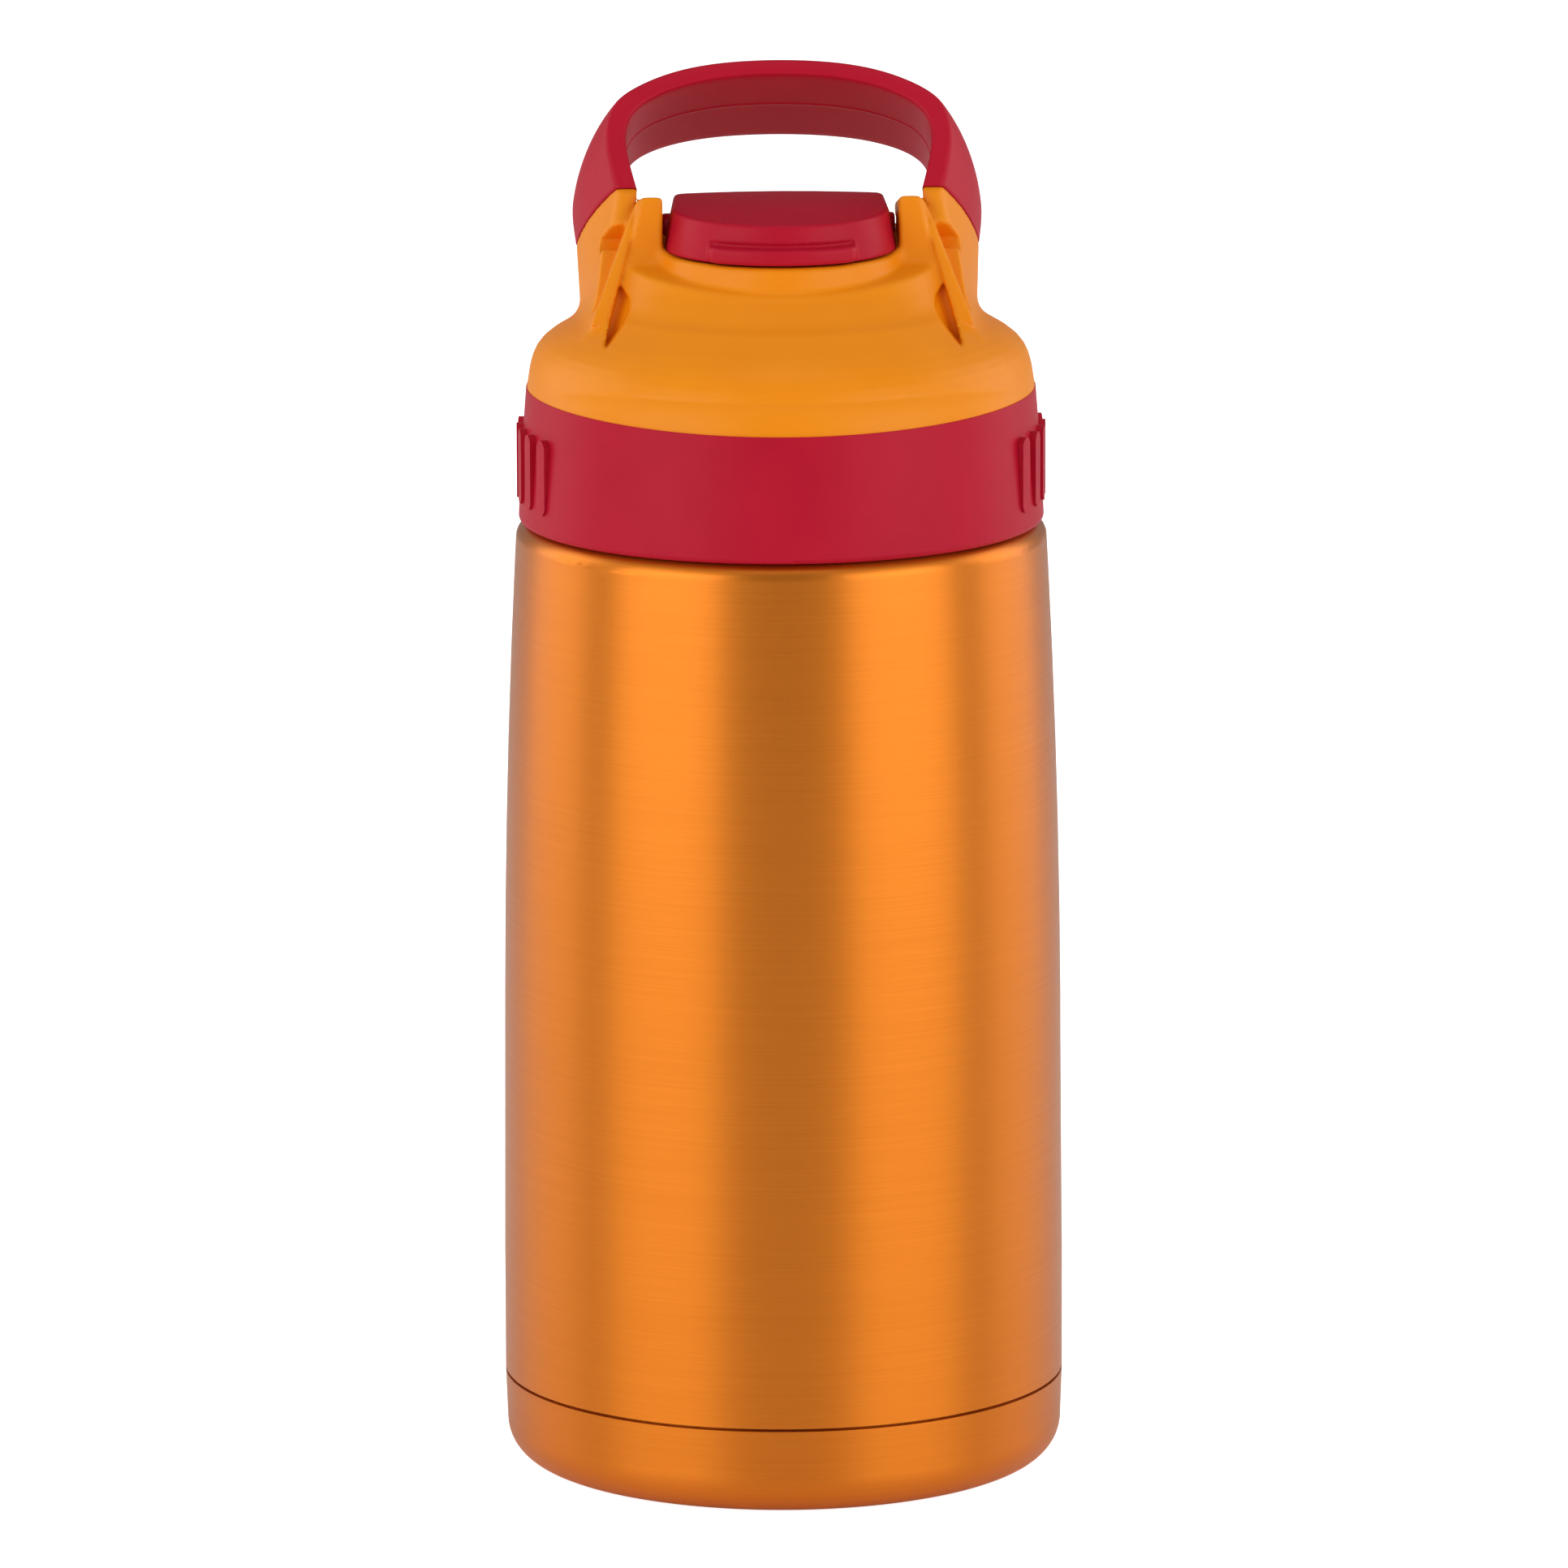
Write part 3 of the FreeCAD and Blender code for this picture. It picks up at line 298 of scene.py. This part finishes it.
def tower(x, y, z):
    """The cone with its terrace and the bridge behind."""
    cone = tower_cone(x, y, z)
    terrace = TERRACE + np.minimum(y, 0) * math.tan(TERRACE_SLOPE)
    cone = meet(cone, z - terrace, 0.5)
    edge = slope(np.hypot(x, y), z + lid_dip(y), SKIRT_EDGE, SHOULDER_EDGE)
    cone = meet(cone, edge, 1.5)
    bridge = meet(between(y, 0, POST_BACK), slope(np.abs(x), z, (22.5, 147), (18.9, TERRACE)), 1.5)
    bridge = meet(bridge, z - TERRACE, 0.8)
    return meet(join(cone, bridge, 1.5), 146 - z)


def arm(side, z, height, depth):
    """The arms that carry the loop and run down into the shoulder; side is how far out in X."""
    flare = np.clip(depth / LOOP_WIDTH, -0.1, 1.1)
    drop = np.clip(-height / ARM_DROP, 0, 1.3)
    outer = mix(21.1, 26.4, flare) + 4 * FLANK_BOW * flare * (1 - flare)
    outer = mix(outer, mix(24.6, 25.3, flare), drop)
    inner = mix(mix(18.4, 19.5, flare), mix(20, 22, flare), drop)
    body = meet(side - outer, inner - side, 0.8)
    body = meet(body, between(depth, -0.9, LOOP_WIDTH, 1.2), 1.6)
    body = meet(body, height, 0.25)
    body = meet(body, slope(-depth, height, (1.1, -1.6), (-0.1, 0)), 0.2)
    return meet(body, 148 - z)


def housing(x, y, z):
    """The lid's orange moulding, with its well, recesses, hinge trough and bearings."""
    side = np.abs(x)
    radius = np.hypot(x, y)
    height, depth = loop_frame(y, z)

    body = join(shoulder(radius, z + lid_dip(y)), tower(x, y, z), 3.5)
    drum = meet(radius - mix(16.6, 15.5, (z - DRUM_FOOT) / 3.6), between(z, 148, DRUM_RIM), 0.4)
    body = join(body, drum, 0.5)
    body = join(body, arm(side, z, height, depth), 1.8)

    post = convex(side, z, [(POST_INNER, 150), (21.6, 150), (17.9, 168), (POST_INNER, 168)], 0.7)
    post = meet(post, between(y, POST_FRONT, POST_BACK), 0.5)
    post = meet(post, slope(-y, z, (-POST_FRONT, 167.1), (-POST_BACK, 163.3)), 0.6)
    body = join(body, meet(post, 156 - z), 2.4 * np.clip((161.5 - z) / 2, 0.06, 1))
    rib = convex(side, height, [(18.0, -2.8), (22.3, -20.7), (24.7, -20.7), (18.6, -2.8)], 0.25)
    body = join(body, meet(rib, between(depth, -2.0, 6), 0.3), 0.3)

    window = convex(side, height, [(19.9, -5.6), (23.7, -17.2), (24.3, -17.2), (23.1, -5.6)], 0.3)
    upper = meet(window, meet(depth - 3.5, -7.8 - height))
    lower = meet(window, depth - 2.0)
    body = carve(body, meet(join(upper, lower), -5 - depth), 0.2)

    kite = convex(side, z, [(23.0, 149.2), (20.9, 156.2), (19.6, 154.6), (19.7, 153.2),
                            (21.0, 151.1)], 0.3)
    body = carve(body, meet(meet(kite, -RECESS_DEPTH - tower_cone(x, y, z)), depth + 0.2), 0.2)

    body = carve(body, meet(radius - WELL_RADIUS, WELL_FLOOR - z), 0.3)
    trough = meet(rod(y, z, (hinge.y, hinge.z), TROUGH_RADIUS), side - TROUGH_HALF)
    body = carve(body, trough, 0.2)
    inside = outline(radius, z, [(0, 136), (31.2, 136), (31.2, 142.9), (29.4, 142.9),
                                 (29.4, 144.6), (26.85, 147.2), (0, 147.2)])
    body = carve(body, inside)
    body = carve(body, meet(rod(x, y, (0, spout_axis.y), SEAT_RADIUS), z - 150))

    cheek = meet(between(side, 9, 11.2, 0.4), between(y, 0, 6, 0.4), 0.4)
    cheek = meet(cheek, between(z, 147, 156.3), 0.6)
    cheek = carve(cheek, rod(y, z, (spout_axis.y, spout_axis.z), TRUNNION_RADIUS))
    return join(body, cheek, 0.5)


# --- The spout's cover --------------------------------------------------------------------------

cover_low, cover_high = box_mm("spout_cover")
COVER_BOTTOM, COVER_TOP = 159.8, cover_high.z
COVER_REAR = 12.3
COVER_RADIUS, COVER_DRAFT = 15.1, 1.1
COVER_WALL, COVER_ROOF = 1.3, 1.5
LIP_REACH, LIP_HEIGHT, LIP_HALF = 0.85, 2.3, 9.7
GROOVE_HEIGHT, GROOVE_HALF = 2.45, 9.2
BARREL_RADIUS, BARREL_HALF, PIN_RADIUS = 2.5, 15.2, 1.05


def cover_outline(x, y, radius):
    """A half disc in front with straight sides that draw in a little to the bowed rear."""
    front = np.hypot(x, y) - radius
    sides = np.abs(x) - radius + y * 0.035
    rear = y - COVER_REAR + x * x / 140
    return meet(np.where(y < 0, front, sides), rear, 1.0)


def cover(x, y, z):
    """The red cover: its bowed roof rises a little to the rear, and a lip lies along its front."""
    radius = COVER_RADIUS - COVER_DRAFT * (z - COVER_BOTTOM) / (COVER_TOP - COVER_BOTTOM)
    top = z - COVER_TOP + x * x / 2400 - (y + 14) * 0.02
    body = meet(cover_outline(x, y, radius), top, 0.45)
    lip = meet(cover_outline(x, y, COVER_RADIUS + LIP_REACH),
               between(z, COVER_BOTTOM, COVER_BOTTOM + LIP_HEIGHT, 0.7), 0.7)
    ends = between(x, -LIP_HALF, LIP_HALF, 1.0)
    lip = meet(meet(lip, ends, 1.2), y + 6)
    body = join(body, lip, 0.15)
    groove = meet(np.abs(z - COVER_BOTTOM - GROOVE_HEIGHT) - 0.28,
                  between(x, -GROOVE_HALF, GROOVE_HALF, 0.6), 0.2)
    groove = meet(groove, meet(radius - 0.35 - np.hypot(x, y), y), 0.1)
    body = carve(body, groove, 0.15)
    body = meet(body, COVER_BOTTOM - z, 0.35)
    hollow = meet(cover_outline(x, y, radius - COVER_WALL), z - COVER_TOP + COVER_ROOF, 0.5)
    body = carve(body, meet(hollow, y - COVER_REAR + COVER_WALL))
    barrel = meet(rod(y, z, (hinge.y, hinge.z), BARREL_RADIUS), np.abs(x) - BARREL_HALF, 0.4)
    body = join(body, barrel, 0.5)
    return carve(body, rod(y, z, (hinge.y, hinge.z), PIN_RADIUS))


# --- The carry loop -----------------------------------------------------------------------------

SMOOTHING = 60  # passes that even out the bends of the loop's long edges
STEPS = 14  # points between two corners


def smooth_line(corners, count):
    """Points of a smooth curve close to the corners, evenly many between each two of them."""
    corners = np.array(corners, float)
    mirrored = corners[-2] * (-1, 1)  # the curve goes on over the crown
    before = 2 * corners[0] - corners[1]
    line = np.vstack([before, corners, mirrored])
    points = []
    for number in range(1, len(corners)):
        p0, p1, p2, p3 = line[number - 1:number + 3]
        for t in np.arange(count) / count:
            points.append(0.5 * (2 * p1 + (p2 - p0) * t + (2 * p0 - 5 * p1 + 4 * p2 - p3) * t * t
                                 + (3 * p1 - p0 - 3 * p2 + p3) * t**3))
    points.append(corners[-1])
    points = np.array(points)
    for _ in range(SMOOTHING):
        inner = np.vstack([points, points[-2] * (-1, 1)])
        points[1:] = (inner[:-2] + 2 * inner[1:-1] + inner[2:]) / 4
    return points


# The loop's four long edges from the right foot to the crown, seen along its lean, as half width
# and height above its feet.
LOOP_EDGES = {
    "front_outer": [(21.1, 0), (22.5, 7.0), (21.6, 11.8), (18.7, 14.75), (11.2, 17.9), (0, 18.8)],
    "front_inner": [(18.4, 0), (20.0, 7.0), (19.0, 10.8), (16.0, 13.4), (9.6, 15.8), (0, 16.6)],
    "rear_outer": [(26.4, 0), (26.9, 5.2), (25.6, 10.2), (21.4, 14.6), (12.5, 17.5), (0, 18.4)],
    "rear_inner": [(19.5, 0), (20.5, 6.0), (19.8, 10.6), (17.0, 13.4), (10.0, 15.5), (0, 16.1)],
}


def band_section():
    """The band's section: share of its width, share of its thickness from outside to inside."""
    section = []
    bevel, rear, thick = 0.55, 1.1, 2.6
    flat_start, flat_end = 1.4, LOOP_WIDTH - 2
    middle, ridge_room = LOOP_WIDTH * 0.47, 0.6

    def corner(centre_u, centre_v, radius, start):
        for step in range(6):
            angle = math.radians(start + 18 * step)
            section.append(((centre_u + radius * math.cos(angle)) / LOOP_WIDTH,
                            (centre_v + radius * math.sin(angle)) / thick))

    corner(bevel, bevel, bevel, 180)
    for u in np.linspace(flat_start, flat_end, 14):
        section.append((u / LOOP_WIDTH, 0))
    corner(LOOP_WIDTH - rear, rear, rear, 270)
    corner(LOOP_WIDTH - rear, thick - rear, rear, 0)
    for u in np.linspace(flat_end, middle + ridge_room, 6):
        section.append((u / LOOP_WIDTH, 1))
    # A fine line runs along the middle of the inside face.
    for du, dv in ((0.2, 0), (0.08, 0.02), (0, 0.03), (-0.08, 0.02), (-0.2, 0)):
        section.append(((middle + du) / LOOP_WIDTH, 1 + dv / thick * 2))
    for u in np.linspace(middle - ridge_room, flat_start, 6):
        section.append((u / LOOP_WIDTH, 1))
    corner(bevel, thick - bevel, bevel, 90)
    return section


def carry_loop(material):
    """The red loop as a row of rings that follow its four long edges."""
    lines = {name: smooth_line(corners, STEPS) for name, corners in LOOP_EDGES.items()}
    section = band_section()
    count = len(lines["front_outer"])
    rings = []
    for number in list(range(count)) + list(range(count - 2, -1, -1)):
        side = 1 if len(rings) < count else -1
        edge = {name: line[number] for name, line in lines.items()}
        ring = []
        for u, v in section:
            outer = mix(edge["front_outer"], edge["rear_outer"], u)
            inner = mix(edge["front_inner"], edge["rear_inner"], u)
            outward = (outer - inner) / np.linalg.norm(outer - inner)
            outer = outer + outward * 4 * FLANK_BOW * u * (1 - u)
            place = mix(outer, inner, v)
            depth = u * LOOP_WIDTH
            ring.append((place[0] * side,
                         LOOP_FOOT[0] + depth * math.cos(LEAN) + place[1] * math.sin(LEAN),
                         LOOP_FOOT[1] - depth * math.sin(LEAN) + place[1] * math.cos(LEAN)))
        rings.append(ring)
    points = np.array(rings).reshape(-1, 3)
    around = len(section)
    faces = []
    for ring in range(len(rings) - 1):
        for step in range(around):
            following = (step + 1) % around
            a, b = ring * around + step, ring * around + following
            faces.append((a, a + around, b + around, b))
    piece = new_piece("carry_loop", points, faces, material)
    close_ends(piece, around)
    return piece


def close_ends(piece, around):
    """Cap the two open ends of a piece made of rings."""
    mesh = bmesh.new()
    mesh.from_mesh(piece.data)
    mesh.verts.ensure_lookup_table()
    total = len(mesh.verts)
    mesh.faces.new([mesh.verts[n] for n in range(around)])
    mesh.faces.new([mesh.verts[n] for n in range(total - around, total)][::-1])
    bmesh.ops.recalc_face_normals(mesh, faces=mesh.faces)
    mesh.to_mesh(piece.data)
    mesh.free()


# --- Camera, light and floor --------------------------------------------------------------------

LIT_POINT = (0, 0, 0.09)  # the middle of the bottle
FLOOR_HALF, FLOOR_GLOW = 6, 0.85


def look_at(thing, target):
    """Turn a camera or light to a point in metres."""
    direction = Vector(target) - thing.location
    thing.rotation_euler = direction.to_track_quat("-Z", "Y").to_euler()


def add_camera():
    """A long lens in front of the bottle, a little above its middle."""
    distance, middle = 1.732, 0.0892
    pitch, yaw, roll = math.radians(11.45), math.radians(1.3), math.radians(-0.18)
    out = distance * math.cos(pitch)
    data = bpy.data.cameras.new("camera")
    data.lens = 305.5
    data.sensor_width = 36
    data.clip_end = 20
    camera = bpy.data.objects.new("camera", data)
    bpy.context.scene.collection.objects.link(camera)
    camera.location = (-out * math.sin(yaw), -out * math.cos(yaw),
                       middle + distance * math.sin(pitch))
    look_at(camera, (0, 0, middle))
    camera.rotation_euler.rotate_axis("Z", roll)
    data.shift_x = 0.0012
    bpy.context.scene.camera = camera


def add_softbox(name, azimuth, height, distance, width, tall, radiance):
    """A rectangular light around the bottle; azimuth 0 is in front, positive to the right."""
    data = bpy.data.lights.new(name, "AREA")
    data.shape = "RECTANGLE"
    data.size = width
    data.size_y = tall
    data.energy = radiance * math.pi * width * tall
    light = bpy.data.objects.new(name, data)
    bpy.context.scene.collection.objects.link(light)
    angle = math.radians(azimuth)
    light.location = (distance * math.sin(angle), -distance * math.cos(angle), height)
    light.visible_camera = False
    look_at(light, LIT_POINT)


def add_world(lighting, backdrop):
    """White behind the bottle; a dimmer, even light on it."""
    world = bpy.data.worlds.new("studio")
    bpy.context.scene.world = world
    world.use_nodes = True
    tree = world.node_tree
    seen = tree.nodes["Background"]
    seen.inputs["Color"].default_value = (1, 1, 1, 1)
    seen.inputs["Strength"].default_value = backdrop
    lit = tree.nodes.new("ShaderNodeBackground")
    lit.inputs["Color"].default_value = (1, 1, 1, 1)
    lit.inputs["Strength"].default_value = lighting
    path = tree.nodes.new("ShaderNodeLightPath")
    either = tree.nodes.new("ShaderNodeMixShader")
    tree.links.new(path.outputs["Is Camera Ray"], either.inputs["Fac"])
    tree.links.new(lit.outputs["Background"], either.inputs[1])
    tree.links.new(seen.outputs["Background"], either.inputs[2])
    tree.links.new(either.outputs["Shader"], tree.nodes["World Output"].inputs["Surface"])


def add_floor():
    """Pale paper that the camera sees a little brighter than it lights the bottle."""
    mesh = bpy.data.meshes.new("floor")
    corners = [(-FLOOR_HALF, -FLOOR_HALF, 0), (FLOOR_HALF, -FLOOR_HALF, 0),
               (FLOOR_HALF, FLOOR_HALF, 0), (-FLOOR_HALF, FLOOR_HALF, 0)]
    mesh.from_pydata(corners, [], [(0, 1, 2, 3)])
    floor = bpy.data.objects.new("floor", mesh)
    bpy.context.scene.collection.objects.link(floor)
    material, shader = new_material("floor_paper")
    shader.inputs["Base Color"].default_value = (0.9, 0.9, 0.9, 1)
    shader.inputs["Roughness"].default_value = 0.8
    shader.inputs["Emission Color"].default_value = (1, 1, 1, 1)
    path = material.node_tree.nodes.new("ShaderNodeLightPath")
    glow = material.node_tree.nodes.new("ShaderNodeMath")
    glow.operation = "MULTIPLY"
    glow.inputs[1].default_value = FLOOR_GLOW
    material.node_tree.links.new(path.outputs["Is Camera Ray"], glow.inputs[0])
    material.node_tree.links.new(glow.outputs["Value"], shader.inputs["Emission Strength"])
    mesh.materials.append(material)


# --- Materials ----------------------------------------------------------------------------------


def new_material(name):
    """A material with its shader node."""
    material = bpy.data.materials.new(name)
    material.use_nodes = True
    return material, material.node_tree.nodes["Principled BSDF"]


class Nodes:
    """Short calls for building a material's node tree."""

    def __init__(self, name):
        self.material, self.shader = new_material(name)
        self.tree = self.material.node_tree

    def add(self, kind, **inputs):
        node = self.tree.nodes.new(kind)
        for name, value in inputs.items():
            socket = node.inputs[name.replace("_", " ")]
            if isinstance(value, bpy.types.NodeSocket):
                self.tree.links.new(value, socket)
            else:
                socket.default_value = value
        return node

    def link(self, output, name):
        self.tree.links.new(output, self.shader.inputs[name])

    def position(self, scale):
        """Object coordinates, stretched per axis."""
        coordinates = self.add("ShaderNodeTexCoord").outputs["Object"]
        mapping = self.add("ShaderNodeMapping", Vector=coordinates)
        mapping.inputs["Scale"].default_value = scale
        return mapping.outputs["Vector"]

    def noise(self, vector, scale, detail=2.0, roughness=0.5):
        node = self.add("ShaderNodeTexNoise", Vector=vector, Scale=scale, Detail=detail,
                        Roughness=roughness)
        return node.outputs["Fac"]

    def spread(self, value, low, high):
        """Bring a noise value from about 0.3..0.7 to the given limits."""
        node = self.add("ShaderNodeMapRange", Value=value)
        node.inputs["From Min"].default_value = 0.3
        node.inputs["From Max"].default_value = 0.7
        node.inputs["To Min"].default_value = low
        node.inputs["To Max"].default_value = high
        return node.outputs["Result"]

    def blend(self, share, dark, light):
        """Two colours mixed. The sockets go by number, since a Mix node repeats their names."""
        node = self.tree.nodes.new("ShaderNodeMix")
        node.data_type = "RGBA"
        self.tree.links.new(share, node.inputs[0])
        node.inputs[6].default_value = (*dark, 1)
        node.inputs[7].default_value = (*light, 1)
        return node.outputs[2]

    def bump(self, height, strength, distance):
        node = self.add("ShaderNodeBump", Height=height, Strength=strength, Distance=distance)
        return node.outputs["Normal"]


def brushed_lacquer(name, dark, light, roughness):
    """Lathe-brushed steel under a clear tinted lacquer: fine rings around the bottle."""
    n = Nodes(name)
    rings = n.noise(n.position((45, 45, 7000)), scale=1.0, detail=3.0, roughness=0.6)
    bands = n.noise(n.position((8, 8, 1600)), scale=1.0, detail=2.0, roughness=0.5)
    n.link(n.blend(n.spread(rings, 0.0, 1.0), dark, light), "Base Color")
    n.shader.inputs["Metallic"].default_value = 1.0
    n.link(n.spread(bands, roughness - 0.01, roughness + 0.015), "Roughness")
    n.shader.inputs["Anisotropic"].default_value = 0.7
    n.shader.inputs["Anisotropic Rotation"].default_value = 0.25
    n.shader.inputs["Coat Weight"].default_value = 0.15
    n.shader.inputs["Coat Roughness"].default_value = 0.25
    tangent = n.add("ShaderNodeTangent")
    tangent.direction_type = "RADIAL"
    tangent.axis = "Z"
    n.link(tangent.outputs["Tangent"], "Tangent")
    n.link(n.bump(rings, strength=0.05, distance=0.00001), "Normal")
    return n.material


def moulded(name, dark, light, roughness, gloss=0.3):
    """Satin moulded plastic: fine grain and a faint flow mottle."""
    n = Nodes(name)
    position = n.position((1, 1, 1))
    mottle = n.noise(position, scale=60, detail=3.0, roughness=0.6)
    fine = n.noise(position, scale=5000, detail=2.0, roughness=0.6)
    n.link(n.blend(n.spread(mottle, 0.0, 1.0), dark, light), "Base Color")
    n.link(n.spread(fine, roughness - 0.04, roughness + 0.05), "Roughness")
    n.shader.inputs["Specular IOR Level"].default_value = gloss
    n.link(n.bump(fine, strength=0.1, distance=0.00002), "Normal")
    return n.material


def bare_steel(name, tint, roughness):
    """Plain brushed steel."""
    n = Nodes(name)
    grain = n.noise(n.position((40, 40, 5000)), scale=1.0, detail=2.0, roughness=0.5)
    light = tuple(min(1.0, c * 1.15) for c in tint)
    n.link(n.blend(n.spread(grain, 0.0, 1.0), tint, light), "Base Color")
    n.shader.inputs["Metallic"].default_value = 1.0
    n.link(n.spread(grain, roughness - 0.06, roughness + 0.06), "Roughness")
    n.link(n.bump(grain, strength=0.1, distance=0.00002), "Normal")
    return n.material


def assign(node, material):
    """Give a CAD node one of the materials below."""
    mesh = frame["nodes"][node].data
    mesh.materials.clear()
    mesh.materials.append(material)


ORANGE_STEEL = brushed_lacquer("orange_lacquered_steel", (0.74, 0.205, 0.016),
                               (0.80, 0.230, 0.020), 0.40)
ORANGE = moulded("orange_plastic", (0.86, 0.255, 0.002), (0.90, 0.28, 0.004), 0.40, 0.2)
RED = moulded("red_plastic", (0.44, 0.004, 0.022), (0.49, 0.006, 0.027), 0.42, 0.14)
STEEL = bare_steel("inner_steel", (0.6, 0.6, 0.61), 0.3)
PIN_STEEL = bare_steel("pin_steel", (0.7, 0.7, 0.7), 0.15)
SILICONE = moulded("clear_silicone", (0.62, 0.64, 0.64), (0.72, 0.74, 0.74), 0.4)
NATURAL = moulded("natural_plastic", (0.70, 0.69, 0.66), (0.78, 0.77, 0.74), 0.4)
DARK = moulded("dark_filler", (0.05, 0.05, 0.05), (0.09, 0.09, 0.09), 0.6)

LOOKS = {
    "outer_shell": ORANGE_STEEL, "base_cap": ORANGE_STEEL, "inner_vessel": STEEL,
    "vacuum_floor": STEEL, "seal_bead": DARK, "getter_pellet": DARK, "lid_gasket": SILICONE,
    "lid_collar": RED, "lid_housing": ORANGE, "handle_loop": RED, "lid_deck": NATURAL,
    "hinge_pin": PIN_STEEL, "straw_stem": NATURAL, "straw": NATURAL, "vent_valve": SILICONE,
    "spout_seat": SILICONE, "spout_spring": PIN_STEEL, "spout_rotor": RED,
    "spout_tip": SILICONE, "spout_cover": RED,
}
for node_name, look in LOOKS.items():
    assign(node_name, look)

# The mesh is looked for in the CAD node's box and this much around it, and for the housing not
# below the box's floor.
MARGIN = Vector((1, 1, 1))
HOUSING_STEP, COVER_STEP = 0.32, 0.25

housing_low, housing_high = box_mm("lid_housing")
housing_low -= Vector((1, 1, 0))
housing_piece = moulding("housing_moulding", housing, housing_low, housing_high + MARGIN,
                         HOUSING_STEP, ORANGE)
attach(housing_piece, "lid")
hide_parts("lid_housing")

cover_piece = moulding("cover_moulding", cover, cover_low - MARGIN, cover_high + MARGIN,
                       COVER_STEP, RED)
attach(cover_piece, "cover")
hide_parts("spout_cover")

loop_piece = carry_loop(RED)
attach(loop_piece, "lid")
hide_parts("handle_loop")

bpy.context.scene.view_settings.view_transform = "Standard"
add_camera()
add_world(lighting=0.30, backdrop=1.0)
for side in (-1, 1):
    add_softbox("softbox_front", azimuth=51 * side, height=0.25, distance=1.3,
                width=1.15, tall=1.8, radiance=2.05)
    add_softbox("softbox_side", azimuth=112 * side, height=0.25, distance=1.3,
                width=0.9, tall=1.8, radiance=1.5)
add_softbox("top_light", azimuth=0, height=1.6, distance=0.2, width=0.8, tall=0.8, radiance=0.9)
add_floor()
